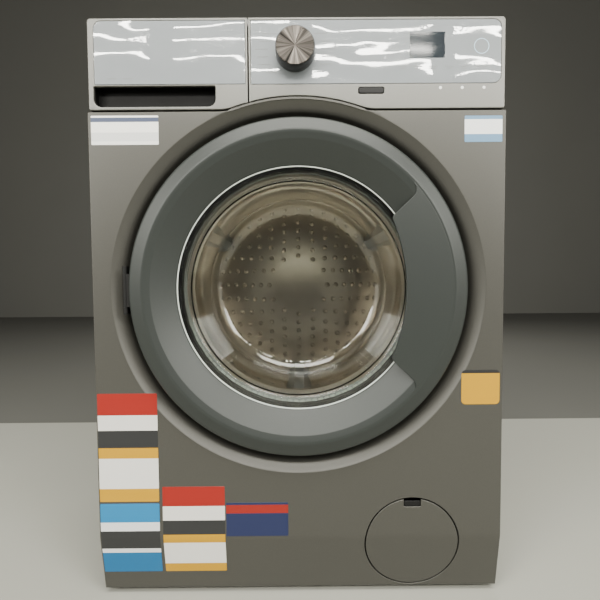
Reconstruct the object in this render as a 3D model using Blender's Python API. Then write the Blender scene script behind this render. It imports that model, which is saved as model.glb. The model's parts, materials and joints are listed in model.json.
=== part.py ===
"""Front loading washing machine with a drying circuit, modelled as its separate pieces.

Units are metres, +Z is up and the front faces -Y. The origin is on the floor, under the
middle of the machine. Most places are given as a depth behind the front panel's face.
"""

import math

import bmesh
import bpy
from mathutils import Vector

# Overall sizes
WIDTH = 0.597
HEIGHT = 0.850
CABINET_DEPTH = 0.600
DOOR_PROUD = 0.025        # door ring ahead of the front panel
SPIGOT_PROUD = 0.025      # water inlet threads behind the rear panel

# Walls and clearances
SHEET = 0.0015            # steel panels
MOULDED = 0.003           # plastic mouldings
CLEAR = 0.0004            # between pieces that touch
HOSE_END_GAP = 0.0030     # a hose's end face leans a little
SEAM = 0.0025             # visible gap between the front panel and the fascia
ROUND = 40                # sides of a large turned piece
SMALL_ROUND = 16          # sides of a small one

# Front view
DOOR_Z = 0.4655           # height of the door's and the drum's axis
FASCIA_HALF = 0.296
FASCIA_BOTTOM = 0.7218
FASCIA_TOP_GAP = 0.001
FASCIA_DEPTH = 0.030
FASCIA_WALL = 0.0045
ARCH_RADIUS = 0.2752      # fascia's lower edge above the door
ARCH_BLEND = 0.070
SPLIT_X = -0.0685         # joint between the drawer front and the fascia
INLAY_BOTTOM = 0.7570
INLAY_TOP = 0.8450
INLAY_RIGHT = 0.290
INLAY_LEFT = -0.287
INLAY_CORNER = 0.011
INLAY_THICK = 0.0011

# Front panel
PANEL_BOTTOM = 0.010
CREASE_Z = 0.096          # the panel leans back below this line
LEAN = math.radians(10)
DISH_RADIUS = 0.272
DISH_FLOOR_RADIUS = 0.253
DISH_SLOPE_DEPTH = 0.015
DISH_DEPTH = 0.026
MOUTH_RADIUS = 0.196
MOUTH_NECK = 0.010
PRESSED = 0.002           # wall of the pressed dish

# Door
DOOR_RADIUS = 0.240
DOOR_FLAT_INNER = 0.218
DOOR_BEVEL_INNER = 0.209
DOOR_BEVEL_DROP = 0.0028
GLASS_SIGHT_RADIUS = 0.1765
GLASS_FLANGE_RADIUS = 0.1865
GLASS_THICK = 0.004
BOWL_MOUTH_RADIUS = 0.1575
BOWL_END_RADIUS = 0.124
BOWL_DEPTH = 0.1015
DOOR_BACK = 0.018
HANDLE_THICK = 0.004
HANDLE_HALF_ANGLE = math.radians(38.9)
HANDLE_INNER = (0.130, 0.0995)
HANDLE_ARC_CENTRE = -0.093
HINGE_X = -0.2465
HINGE_AHEAD = 0.012       # hinge axis ahead of the front panel
HINGE_BARREL = 0.0032
HINGE_PIN = 0.0012
HINGE_BORE = 0.0018
HINGE_DOOR_HALF = 0.0235
HINGE_HALF = 0.034
HOOK_X = 0.222

# Knob and power button
KNOB_X = -0.0025
KNOB_Z = 0.800
KNOB_RADIUS = 0.0275
KNOB_PROUD = 0.022
KNOB_SHAFT = 0.0045
POINTER_ANGLE = math.radians(62)
BUTTON_X = (0.0893, 0.1217)
BUTTON_Z = (0.7448, 0.7497)
BUTTON_TRAVEL = 0.0015

# Drawer
DRAWER_FRONT_THICK = 0.0205
RECESS_X = (-0.289, -0.116)
RECESS_Z = (0.726, 0.756)
RECESS_DEPTH = 0.0170
TRAY_X = (-0.280, -0.086)
TRAY_Z = (0.748, 0.822)
TRAY_LENGTH = 0.229
TRAY_WALL = 0.002
TRAY_DIVIDERS = (-0.194, -0.144)
HOUSING_MARGIN = 0.005    # dispenser housing around the tray
HOUSING_WALL = 0.0025

# Drum, tub and drive
TUB_RADIUS = 0.260
TUB_WALL = 0.004
TUB_FRONT = 0.078
TUB_JOINT = 0.270         # where the two halves of the tub meet
TUB_BACK = 0.475
NECK_RADIUS = 0.186
DRUM_RADIUS = 0.243
DRUM_WALL = 0.002
DRUM_FRONT = 0.088
DRUM_BACK = 0.440
DRUM_MOUTH = 0.172
LIFTERS = 3
LIFTER_TOP = 0.195
SHAFT_RADIUS = 0.0145
BEARING_RADIUS = 0.0242
HUB_RADIUS = 0.042
HUB_FRONT = 0.466
HUB_BACK = 0.490
PULLEY_RADIUS = 0.140
PULLEY_FRONT = 0.501
PULLEY_BACK = 0.516
MOTOR_X = 0.055
MOTOR_RADIUS = 0.060
MOTOR_GAP = 0.006         # between the tub and the motor
MOTOR_FRONT = 0.335
MOTOR_BACK = 0.478
MOTOR_PULLEY = 0.012
BELT_THICK = 0.0025
WEIGHT_INNER = 0.200
WEIGHT_OUTER = 0.256
WEIGHT_FRONT = 0.052

# Suspension
SPRING_X = 0.200
SPRING_DEPTH = 0.300
SPRING_TOP = 0.8055
SPRING_BOTTOM = 0.6725
SPRING_RADIUS = 0.010
SPRING_WIRE = 0.0016
SPRING_TURNS = 5
DAMPER_X = 0.170
DAMPER_DEPTH = 0.215
DAMPER_TOP = 0.150
DAMPER_RADIUS = 0.013
DAMPER_ROD = 0.005
DAMPER_BORE = 0.006
DAMPER_ROD_END = 0.060

# Base, feet and pump
BASE_BOTTOM = 0.012
BASE_TOP = 0.045
BASE_FLOOR = 0.003
BASE_FRONT = 0.025
FOOT_X = 0.255
FOOT_DEPTHS = (0.065, 0.545)
FOOT_PAD = 0.020
FOOT_PAD_HEIGHT = 0.008
FOOT_STEM = 0.0053
FOOT_STEM_TOP = 0.036
FOOT_HOLE = 0.0059
FILTER_X = 0.1667
FILTER_Z = 0.0835
FILTER_COVER_RADIUS = 0.0695
FILTER_COVER_GAP = 0.0015
FILTER_HINGE_Z = 0.020
PUMP_RADIUS = 0.033
PUMP_BORE = 0.0262
PUMP_FRONT = 0.050
PUMP_BACK = 0.190
PUMP_CHAMBER_BACK = 0.142

# Top and back
WORKTOP_THICK = 0.012
FLANGE = 0.015
ACCESS_RADIUS = 0.165
SPIGOTS_X = (-0.215, -0.165)
SPIGOT_Z = 0.780
SPIGOT_RADIUS = 0.0133
DRAIN_OUTLET_Z = 0.700
POWER_X = 0.215
POWER_Z = 0.780
FILL_X = -0.150
FILL_DEPTH = 0.180
SUMP_X = 0.060
SUMP_DEPTH = 0.160
FAN_X = 0.115
FAN_DEPTH = 0.400
DUCT_TOP = 0.790

FRONT = -(CABINET_DEPTH + SPIGOT_PROUD - DOOR_PROUD) / 2
REAR = FRONT + CABINET_DEPTH
HALF = WIDTH / 2
WORKTOP_UNDER = HEIGHT - WORKTOP_THICK
MOTOR_Z = DOOR_Z - math.sqrt((TUB_RADIUS + MOTOR_RADIUS + MOTOR_GAP) ** 2 - MOTOR_X**2)
FLOOR_TOP = BASE_BOTTOM + BASE_FLOOR
FASCIA_TOP = HEIGHT - FASCIA_TOP_GAP
DOOR_AXIS = (0.0, DOOR_Z)


def depth(value):
    """The Y of a plane that lies this far behind the front panel's face."""
    return FRONT + value


# ---------------------------------------------------------------- outlines


def arc(centre, radius, start, end, steps):
    """Points of a circular arc, both ends included, with the angles in radians."""
    points = []
    for step in range(steps + 1):
        angle = start + (end - start) * step / steps
        points.append((centre[0] + radius * math.cos(angle), centre[1] + radius * math.sin(angle)))
    return points


def circle(centre, radius, count):
    return arc(centre, radius, 0.0, math.tau * (count - 1) / count, count - 1)


def rectangle(low, high):
    return [(low[0], low[1]), (high[0], low[1]), (high[0], high[1]), (low[0], high[1])]


def rounded(low, high, radii, steps=4):
    """A rectangle whose corners have their own radii: lower left, lower right, upper right, upper left."""
    corners = ((low[0], low[1]), (high[0], low[1]), (high[0], high[1]), (low[0], high[1]))
    inward = ((1, 1), (-1, 1), (-1, -1), (1, -1))
    points = []
    for index, radius in enumerate(radii):
        x, z = corners[index]
        if radius == 0:
            points.append((x, z))
            continue
        centre = (x + inward[index][0] * radius, z + inward[index][1] * radius)
        start = math.pi + index * math.pi / 2
        points += arc(centre, radius, start, start + math.pi / 2, steps)
    return points


def normals(points, closed):
    """The mean normal at each point of a path, to the right of its direction."""
    found = []
    count = len(points)
    for index, point in enumerate(points):
        before = points[index - 1] if closed or index > 0 else point
        after = points[(index + 1) % count] if closed or index < count - 1 else point
        first = Vector((point[0] - before[0], point[1] - before[1]))
        second = Vector((after[0] - point[0], after[1] - point[1]))
        mean = Vector((0.0, 0.0))
        for side in (first, second):
            if side.length > 0:
                mean += side.normalized()
        mean.normalize()
        longest = first if first.length > 0 else second
        cosine = max(0.5, mean.dot(longest.normalized()))
        found.append((mean.y / cosine, -mean.x / cosine))
    return found


def grown(outline, margin):
    """An anticlockwise outline moved outwards all round by the margin."""
    sides = normals(outline, True)
    return [(p[0] + margin * n[0], p[1] + margin * n[1]) for p, n in zip(outline, sides)]


def strip(points, thickness):
    """The closed section of a wall that follows a path of (radius, depth) points."""
    sides = normals(points, False)
    half = thickness / 2
    right = [(p[0] + half * n[0], p[1] + half * n[1]) for p, n in zip(points, sides)]
    left = [(p[0] - half * n[0], p[1] - half * n[1]) for p, n in zip(points, sides)]
    section = right + left[::-1]
    return [(0.0 if radius < half else radius, along) for radius, along in section]


def arch(margin):
    """The fascia's lower edge from left to right, moved down by the margin, with blends beside the arch."""
    blend = ARCH_BLEND + margin
    level = FASCIA_BOTTOM + ARCH_BLEND
    reach = ARCH_RADIUS + ARCH_BLEND
    blend_x = math.sqrt(reach**2 - (level - DOOR_Z) ** 2)
    turn = math.atan2(level - DOOR_Z, blend_x)
    left = arc((-blend_x, level), blend, -math.pi / 2, -turn, 4)
    top = arc(DOOR_AXIS, ARCH_RADIUS - margin, math.pi - turn, turn, 12)
    right = [(-x, z) for x, z in reversed(left)]
    return left + top[1:-1] + right


# ---------------------------------------------------------------- solids


def prism(outline, axis, low, high):
    """An outline extruded along one axis. Its points are (x, z), (y, z) or (x, y) for Y, X and Z."""
    places = {
        "X": lambda u, v, w: (w, u, v),
        "Y": lambda u, v, w: (u, w, v),
        "Z": lambda u, v, w: (u, v, w),
    }
    place = places[axis]
    shape = bmesh.new()
    ends = []
    for level in (low, high):
        ends.append([shape.verts.new(place(u, v, level)) for u, v in outline])
    shape.faces.new(ends[0])
    shape.faces.new(ends[1][::-1])
    for index in range(len(outline)):
        after = (index + 1) % len(outline)
        shape.faces.new((ends[0][after], ends[0][index], ends[1][index], ends[1][after]))
    return shape


def block(low, high):
    return prism(rectangle((low[0], low[1]), (high[0], high[1])), "Z", low[2], high[2])


def turned(profile, centre, axis="Y", count=ROUND):
    """A closed profile of (radius, place along the axis) points, turned about the axis."""
    shape = bmesh.new()
    rings = []
    for radius, along in profile:
        ring = []
        for step in range(count if radius > 0 else 1):
            angle = math.tau * step / count
            u = centre[0] + radius * math.cos(angle)
            v = centre[1] + radius * math.sin(angle)
            ring.append(shape.verts.new((u, along, v) if axis == "Y" else (u, v, along)))
        rings.append(ring)
    for index, ring in enumerate(rings):
        other = rings[(index + 1) % len(rings)]
        if len(ring) == 1 and len(other) == 1:
            continue
        for step in range(count):
            after = (step + 1) % count
            corners = [ring[step % len(ring)], ring[after % len(ring)]]
            corners += [other[after % len(other)], other[step % len(other)]]
            shape.faces.new(list(dict.fromkeys(corners)))
    return shape


def rod(centre, radius, low, high, axis="Y", count=SMALL_ROUND):
    return turned([(0, low), (radius, low), (radius, high), (0, high)], centre, axis, count)


def coil(centre, radius, wire, low, high, turns, steps=9, sides=4):
    """A helical wire about a vertical axis, with its flat ends closed."""
    shape = bmesh.new()
    rings = []
    total = turns * steps
    pitch = (high - low - 2 * wire) / turns
    for step in range(total + 1):
        angle = math.tau * step / steps
        outward = Vector((math.cos(angle), math.sin(angle), 0))
        middle = Vector((centre[0], centre[1], low + wire + pitch * step / steps)) + radius * outward
        ring = []
        for side in range(sides):
            around = math.tau * side / sides
            offset = wire * (math.cos(around) * outward + math.sin(around) * Vector((0, 0, 1)))
            ring.append(shape.verts.new(middle + offset))
        rings.append(ring)
    for first, second in zip(rings, rings[1:]):
        for side in range(sides):
            after = (side + 1) % sides
            shape.faces.new((first[side], first[after], second[after], second[side]))
    shape.faces.new(rings[0])
    shape.faces.new(rings[-1][::-1])
    return shape


# ---------------------------------------------------------------- objects


def finish(name, colour, roughness, metallic=0.0, alpha=1.0):
    """A Principled material."""
    surface = bpy.data.materials.new(name)
    surface.use_nodes = True
    shader = surface.node_tree.nodes["Principled BSDF"]
    shader.inputs["Base Color"].default_value = (*colour, 1.0)
    shader.inputs["Roughness"].default_value = roughness
    shader.inputs["Metallic"].default_value = metallic
    shader.inputs["Alpha"].default_value = alpha
    return surface


def body(name, pivot):
    """An empty on a moving body's joint axis, which its pieces are parented to."""
    empty = bpy.data.objects.new(f"{name}_pivot", None)
    empty.location = pivot
    bpy.context.scene.collection.objects.link(empty)
    return empty


def make(name, shape, surface, parent=None):
    """An object from a shape in world coordinates, on the machine or on a moving body."""
    bmesh.ops.recalc_face_normals(shape, faces=shape.faces)
    if parent:
        bmesh.ops.translate(shape, verts=shape.verts, vec=-parent.location)
    mesh = bpy.data.meshes.new(name)
    shape.to_mesh(mesh)
    shape.free()
    mesh.materials.append(surface)
    mesh.shade_smooth()
    mesh.set_sharp_from_angle(angle=math.radians(30))
    piece = bpy.data.objects.new(name, mesh)
    bpy.context.scene.collection.objects.link(piece)
    piece.parent = parent
    return piece


def combine(piece, shape, operation):
    helper = make(f"{piece.name}_{operation.lower()}_{len(piece.modifiers)}", shape,
                  piece.data.materials[0], piece.parent)
    helper.hide_render = True
    helper.display_type = "WIRE"
    modifier = piece.modifiers.new(helper.name, "BOOLEAN")
    modifier.operation = operation
    modifier.solver = "EXACT"
    modifier.object = helper


def cut(piece, *shapes):
    for shape in shapes:
        combine(piece, shape, "DIFFERENCE")


def join(piece, *shapes):
    for shape in shapes:
        combine(piece, shape, "UNION")


def hose(name, route, radius, surface, parent=None):
    """A round tube along a smooth curve through the route's points."""
    points = [Vector(point) for point in route]
    padded = [2 * points[0] - points[1], *points, 2 * points[-1] - points[-2]]
    path = []
    steps = 4
    for index in range(1, len(padded) - 2):
        before, start, end, after = padded[index - 1 : index + 3]
        for step in range(steps):
            t = step / steps
            path.append(0.5 * (2 * start + (end - before) * t
                               + (2 * before - 5 * start + 4 * end - after) * t**2
                               + (3 * start - before - 3 * end + after) * t**3))
    path.append(points[-1])
    curve = bpy.data.curves.new(name, "CURVE")
    curve.dimensions = "3D"
    curve.bevel_depth = radius
    curve.bevel_resolution = 2
    curve.use_fill_caps = True
    spline = curve.splines.new("POLY")
    spline.points.add(len(path) - 1)
    for point, place in zip(spline.points, path):
        point.co = (*place, 1.0)
    curve.materials.append(surface)
    piece = bpy.data.objects.new(name, curve)
    bpy.context.scene.collection.objects.link(piece)
    piece.parent = parent
    return piece


# ---------------------------------------------------------------- cabinet


def base_tray(plastic):
    half = HALF - SHEET - 0.0015
    back = CABINET_DEPTH - 2 * SHEET - 0.0015
    piece = make("base_tray", block((-half, depth(BASE_FRONT), BASE_BOTTOM), (half, depth(back), BASE_TOP)),
                 plastic)
    cut(piece, block((-half + MOULDED, depth(BASE_FRONT + MOULDED), FLOOR_TOP),
                     (half - MOULDED, depth(back - MOULDED), BASE_TOP + 0.01)))
    for x, foot_depth in foot_places():
        join(piece, rod((x, depth(foot_depth)), FOOT_PAD - 0.004, BASE_BOTTOM, BASE_TOP - 0.005, "Z"))
    for x, foot_depth in foot_places():
        cut(piece, rod((x, depth(foot_depth)), FOOT_HOLE, BASE_BOTTOM - 0.01, BASE_TOP + 0.01, "Z"))


def foot_places():
    return [(side * FOOT_X, foot_depth) for foot_depth in FOOT_DEPTHS for side in (-1, 1)]


def levelling_feet(rubber):
    names = ("foot_front_left", "foot_front_right", "foot_rear_left", "foot_rear_right")
    profile = [(0, 0), (FOOT_PAD - 0.002, 0), (FOOT_PAD, 0.002), (FOOT_PAD, FOOT_PAD_HEIGHT - 0.002),
               (0.010, FOOT_PAD_HEIGHT), (FOOT_STEM, FOOT_PAD_HEIGHT), (FOOT_STEM, FOOT_STEM_TOP),
               (0, FOOT_STEM_TOP)]
    for name, (x, foot_depth) in zip(names, foot_places()):
        centre = (x, depth(foot_depth))
        make(name, turned(profile, centre, "Z", SMALL_ROUND), rubber, body(name, (*centre, 0)))


def kick_wedge(margin):
    """The space in front of the leaning lower part of the panel."""
    drop = CREASE_Z - PANEL_BOTTOM + 0.02
    face = depth(margin)
    outline = [(face, CREASE_Z), (face + drop * math.tan(LEAN), CREASE_Z - drop),
               (FRONT - 0.05, CREASE_Z - drop), (FRONT - 0.05, CREASE_Z)]
    return prism(outline, "X", -HALF - 0.02, HALF + 0.02)


def side_panels(paint):
    front = depth(SHEET + CLEAR)
    back = REAR - SHEET - CLEAR
    corner = 0.003
    inner = HALF - FLANGE
    outline = [(inner, front)]
    outline += arc((HALF - corner, front + corner), corner, -math.pi / 2, 0, 3)
    outline += [(HALF, back), (inner, back), (inner, back - SHEET), (HALF - SHEET, back - SHEET),
                (HALF - SHEET, front + SHEET), (inner, front + SHEET)]
    for name, side in (("left_side_panel", -1), ("right_side_panel", 1)):
        mirrored = [(side * x, y) for x, y in outline]
        piece = make(name, prism(mirrored, "Z", BASE_BOTTOM, WORKTOP_UNDER - CLEAR), paint)
        cut(piece, kick_wedge(SHEET + 2 * CLEAR))
        cut(piece, block((-HALF - 0.01, FRONT - 0.01, FASCIA_BOTTOM - SEAM),
                         (HALF + 0.01, depth(FASCIA_DEPTH + CLEAR), HEIGHT)))


def rear_panel(steel):
    piece = make("rear_panel", block((-HALF, REAR - SHEET, BASE_BOTTOM),
                                     (HALF, REAR, WORKTOP_UNDER - CLEAR)), steel)
    ends = (REAR - 0.02, REAR + 0.02)
    cut(piece, rod(DOOR_AXIS, ACCESS_RADIUS, *ends, count=ROUND))
    for x in SPIGOTS_X:
        cut(piece, rod((x, SPIGOT_Z), SPIGOT_RADIUS + 2 * CLEAR, *ends))
    cut(piece, block((POWER_X - 0.016, ends[0], POWER_Z - 0.016), (POWER_X + 0.016, ends[1], POWER_Z + 0.016)))


def rear_access_cover(steel):
    rim = ACCESS_RADIUS + 0.011
    dome = ACCESS_RADIUS - 0.014
    near = REAR + CLEAR
    profile = [(0, near + 0.010), (dome, near + 0.010), (dome + 0.009, near + SHEET), (rim, near + SHEET),
               (rim, near), (dome + 0.007, near), (dome - 0.001, near + 0.010 - SHEET),
               (0, near + 0.010 - SHEET)]
    make("rear_access_cover", turned(profile, DOOR_AXIS), steel)


def worktop(laminate):
    piece = make("worktop", block((-HALF, depth(FASCIA_DEPTH + CLEAR), WORKTOP_UNDER),
                                  (HALF, REAR, HEIGHT)), laminate)
    edge = piece.modifiers.new("edge", "BEVEL")
    edge.width = 0.002
    edge.segments = 2
    edge.limit_method = "ANGLE"


def top_brace(steel):
    low, high = depth(SPRING_DEPTH - 0.012), depth(SPRING_DEPTH + 0.012)
    bottom = SPRING_TOP + CLEAR
    end = HALF - SHEET - CLEAR
    top = WORKTOP_UNDER - 0.004
    outline = [(low, bottom), (high, bottom), (high, top), (high - SHEET, top), (high - SHEET, bottom + SHEET),
               (low + SHEET, bottom + SHEET), (low + SHEET, top), (low, top)]
    make("top_brace", prism(outline, "X", -end, end), steel)


def bent_sheet(thickness):
    """A full-width sheet in the plane of the front panel, leaning back below the crease."""
    low = PANEL_BOTTOM - 0.005
    lean = (CREASE_Z - low) * math.tan(LEAN)
    outline = [(FRONT, HEIGHT), (FRONT, CREASE_Z), (FRONT + lean, low), (FRONT + lean + thickness, low),
               (FRONT + thickness, CREASE_Z), (FRONT + thickness, HEIGHT)]
    return prism(outline, "X", -HALF - 0.01, HALF + 0.01)


def front_panel(paint):
    outline = [(-HALF, PANEL_BOTTOM), (HALF, PANEL_BOTTOM), (HALF, FASCIA_BOTTOM - SEAM)]
    outline += list(reversed(arch(SEAM)))
    outline += [(-HALF, FASCIA_BOTTOM - SEAM)]
    piece = make("front_panel", prism(outline, "Y", FRONT - 0.01, FRONT + 0.05), paint)
    combine(piece, bent_sheet(SHEET), "INTERSECT")
    neck_end = DISH_DEPTH + MOUTH_NECK
    rim = DISH_RADIUS - 2 * CLEAR
    plug = [(0, depth(CLEAR)), (rim, depth(CLEAR)), (rim, depth(PRESSED)),
            (DISH_FLOOR_RADIUS + PRESSED, depth(DISH_SLOPE_DEPTH + PRESSED)),
            (DISH_FLOOR_RADIUS + PRESSED, depth(DISH_DEPTH + PRESSED)),
            (MOUTH_RADIUS + PRESSED, depth(DISH_DEPTH + PRESSED)), (MOUTH_RADIUS + PRESSED, depth(neck_end)),
            (0, depth(neck_end))]
    hollow = [(0, depth(-0.01)), (DISH_RADIUS, depth(-0.01)), (DISH_RADIUS, FRONT),
              (DISH_FLOOR_RADIUS, depth(DISH_SLOPE_DEPTH)), (DISH_FLOOR_RADIUS, depth(DISH_DEPTH)),
              (0, depth(DISH_DEPTH))]
    cut(piece, rod((FILTER_X, FILTER_Z), FILTER_COVER_RADIUS + FILTER_COVER_GAP, FRONT - 0.02, depth(0.04),
                   count=ROUND))
    join(piece, turned(plug, DOOR_AXIS))
    cut(piece, turned(hollow, DOOR_AXIS))
    cut(piece, lock_slot(0.0))
    cut(piece, rod(DOOR_AXIS, MOUTH_RADIUS, depth(DISH_DEPTH - 0.01), depth(neck_end + 0.01), count=ROUND))


def lock_slot(inset):
    """The hook's way through the dish floor, and into the lock."""
    return block((HOOK_X - 0.009 + inset, depth(DISH_DEPTH - 0.002), DOOR_Z - 0.013 + inset),
                 (HOOK_X + 0.010 - inset, depth(DISH_DEPTH + 0.017), DOOR_Z + 0.013 - inset))


# ---------------------------------------------------------------- fascia and drawer


def fascia_outline(left, right):
    """The front view of a stretch of the fascia between two x values."""
    lower = [point for point in arch(0.0) if left + 0.001 < point[0] < right - 0.001]
    ends = []
    for x in (left, right):
        ends.append((x, max(FASCIA_BOTTOM, arch_height(x))))
    return [ends[0], *lower, ends[1], (right, FASCIA_TOP), (left, FASCIA_TOP)]


def arch_height(x):
    """The height of the fascia's lower edge at one x, along the straight pieces of the arch's outline."""
    points = arch(0.0)
    for first, second in zip(points, points[1:]):
        if first[0] <= x <= second[0]:
            share = (x - first[0]) / (second[0] - first[0])
            return first[1] + share * (second[1] - first[1])
    return FASCIA_BOTTOM


def control_panel(plastic):
    piece = make("control_panel", prism(fascia_outline(-FASCIA_HALF, FASCIA_HALF), "Y", FRONT,
                                        depth(FASCIA_DEPTH)), plastic)
    bay = depth(DRAWER_FRONT_THICK + 0.001)
    cut(piece, block((-HALF - 0.01, FRONT - 0.01, FASCIA_BOTTOM - 0.02), (SPLIT_X, bay, HEIGHT + 0.01)))
    margin = HOUSING_MARGIN - 0.001
    cut(piece, block((TRAY_X[0] - margin, bay - 0.005, TRAY_Z[0] - margin),
                     (TRAY_X[1] + margin, depth(FASCIA_DEPTH + 0.01), TRAY_Z[1] + margin)))
    wall = depth(FASCIA_WALL)
    side = FASCIA_HALF - 0.007
    cut(piece, block((SPLIT_X + 0.006, wall, ARCH_RADIUS + DOOR_Z + MOULDED),
                     (side, depth(FASCIA_DEPTH + 0.01), FASCIA_TOP - 0.006)))
    button_low = BUTTON_Z[0] - 0.0075
    cut(piece, block((BUTTON_X[0] - 0.009, wall, button_low), (side, depth(FASCIA_DEPTH + 0.01), KNOB_Z)))
    cut(piece, prism(grown(fascia_inlay_outline(), CLEAR), "Y", FRONT - 0.01, depth(INLAY_THICK + CLEAR)))
    cut(piece, rod((KNOB_X, KNOB_Z), KNOB_SHAFT + 0.001, FRONT - 0.01, depth(0.01)))
    cut(piece, block((BUTTON_X[0] - CLEAR, FRONT - 0.01, BUTTON_Z[0] - CLEAR),
                     (BUTTON_X[1] + CLEAR, depth(0.01), BUTTON_Z[1] + CLEAR)))


def fascia_inlay_outline():
    return rounded((SPLIT_X + 0.002, INLAY_BOTTOM), (INLAY_RIGHT, INLAY_TOP), (0, INLAY_CORNER, INLAY_CORNER, 0))


def fascia_inlay(gloss):
    piece = make("fascia_inlay", prism(fascia_inlay_outline(), "Y", FRONT, depth(INLAY_THICK)), gloss)
    cut(piece, rod((KNOB_X, KNOB_Z), KNOB_SHAFT + 0.0015, FRONT - 0.01, depth(0.01)))


def programme_knob(metal):
    proud = -KNOB_PROUD
    skirt = -0.0008
    profile = [(0, depth(proud)), (KNOB_RADIUS - 0.0015, depth(proud)), (KNOB_RADIUS, depth(proud + 0.0015)),
               (KNOB_RADIUS, depth(skirt)), (KNOB_SHAFT, depth(skirt)), (KNOB_SHAFT, depth(0.020)),
               (0, depth(0.020))]
    centre = (KNOB_X, KNOB_Z)
    pivot = body("programme_knob", (KNOB_X, FRONT, KNOB_Z))
    piece = make("programme_knob", turned(profile, centre, count=32), metal, pivot)
    groove = block((KNOB_X + 0.009, depth(proud - 0.001), KNOB_Z - 0.0011),
                   (KNOB_X + 0.023, depth(proud + 0.0008), KNOB_Z + 0.0011))
    turn(groove, centre, POINTER_ANGLE)
    cut(piece, groove)


def turn(shape, centre, angle):
    """Turns a shape about an axis along Y, anticlockwise in the front view."""
    for vertex in shape.verts:
        x, z = vertex.co.x - centre[0], vertex.co.z - centre[1]
        vertex.co.x = centre[0] + x * math.cos(angle) - z * math.sin(angle)
        vertex.co.z = centre[1] + x * math.sin(angle) + z * math.cos(angle)


def power_button(plastic):
    flange = 0.0018
    seat = FASCIA_WALL + 0.0005
    pivot = body("power_button", (sum(BUTTON_X) / 2, FRONT, sum(BUTTON_Z) / 2))
    piece = make("power_button", block((BUTTON_X[0], depth(-0.0012), BUTTON_Z[0]),
                                       (BUTTON_X[1], depth(seat + 0.0005), BUTTON_Z[1])), plastic, pivot)
    join(piece, block((BUTTON_X[0] - flange, depth(seat), BUTTON_Z[0] - flange),
                      (BUTTON_X[1] + flange, depth(seat + 0.0015), BUTTON_Z[1] + flange)))


def drawer_pieces(plastic, gloss, clear_plastic):
    pivot = body("drawer", ((TRAY_X[0] + TRAY_X[1]) / 2, FRONT, TRAY_Z[0]))
    edge = SPLIT_X - 0.0015
    front = make("drawer_front", prism(fascia_outline(-FASCIA_HALF, edge), "Y", FRONT,
                                       depth(DRAWER_FRONT_THICK)), plastic, pivot)
    recess = rounded((RECESS_X[0], RECESS_Z[0]), (RECESS_X[1], RECESS_Z[1]), (INLAY_CORNER, INLAY_CORNER, 0, 0))
    cut(front, prism(recess, "Y", FRONT - 0.01, depth(RECESS_DEPTH)))
    plate = rounded((INLAY_LEFT, INLAY_BOTTOM), (edge, INLAY_TOP), (0, 0, 0, INLAY_CORNER))
    cut(front, prism(grown(plate, CLEAR), "Y", FRONT - 0.01, depth(INLAY_THICK + CLEAR)))
    make("drawer_inlay", prism(plate, "Y", FRONT, depth(INLAY_THICK)), gloss, pivot)

    near, far = DRAWER_FRONT_THICK + CLEAR, DRAWER_FRONT_THICK + TRAY_LENGTH
    tray = make("drawer_tray", block((TRAY_X[0], depth(near), TRAY_Z[0]), (TRAY_X[1], depth(far), TRAY_Z[1])),
                clear_plastic, pivot)
    bounds = [TRAY_X[0], *TRAY_DIVIDERS, TRAY_X[1]]
    floor = TRAY_Z[0] + TRAY_WALL
    for left, right in zip(bounds, bounds[1:]):
        cut(tray, block((left + TRAY_WALL, depth(near + TRAY_WALL), floor),
                        (right - TRAY_WALL, depth(far - TRAY_WALL), TRAY_Z[1] + 0.01)))
    middle = (TRAY_DIVIDERS[1] + TRAY_X[1]) / 2
    siphon = make("softener_siphon", block((middle - 0.020, depth(far - 0.055), floor + CLEAR),
                                           (middle + 0.020, depth(far - 0.010), floor + 0.012)),
                  gloss, pivot)
    join(siphon, rod((middle, depth(far - 0.032)), 0.007, floor + 0.010, floor + 0.040, "Z", 12))


def dispenser_housing(plastic):
    near = depth(FASCIA_DEPTH + 0.001)
    far = depth(DRAWER_FRONT_THICK + TRAY_LENGTH + HOUSING_MARGIN + HOUSING_WALL)
    low = (TRAY_X[0] - HOUSING_MARGIN, TRAY_Z[0] - HOUSING_MARGIN)
    high = (TRAY_X[1] + HOUSING_MARGIN, TRAY_Z[1] + HOUSING_MARGIN + 0.003)
    wall = HOUSING_WALL
    piece = make("dispenser_housing", block((low[0] - wall, near, low[1] - wall),
                                            (high[0] + wall, far, high[1] + wall)), plastic)
    cut(piece, block((low[0], near - 0.01, low[1]), (high[0], far - wall, high[1])))
    spout = (FILL_X, depth(FILL_DEPTH))
    join(piece, rod(spout, 0.021, fill_spout_bottom(), low[1] - wall / 2, "Z"))
    cut(piece, rod(spout, 0.017, fill_spout_bottom() - 0.01, low[1] + 0.001, "Z"))


def fill_spout_bottom():
    return TRAY_Z[0] - HOUSING_MARGIN - HOUSING_WALL - 0.006


# ---------------------------------------------------------------- door


def door_glass_path():
    """The middle line of the glass, from its flange to the middle of the bowl."""
    half = GLASS_THICK / 2
    deep = BOWL_DEPTH
    return [(GLASS_FLANGE_RADIUS, depth(half)), (BOWL_MOUTH_RADIUS + 0.003, depth(half)),
            (BOWL_MOUTH_RADIUS, depth(half + 0.004)), (BOWL_END_RADIUS + 0.018, depth(deep - 0.022)),
            (BOWL_END_RADIUS + 0.012, depth(deep - 0.010)), (BOWL_END_RADIUS, depth(deep - 0.002)),
            (BOWL_END_RADIUS / 2, depth(deep + 0.001)), (0, depth(deep + 0.002))]


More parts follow.
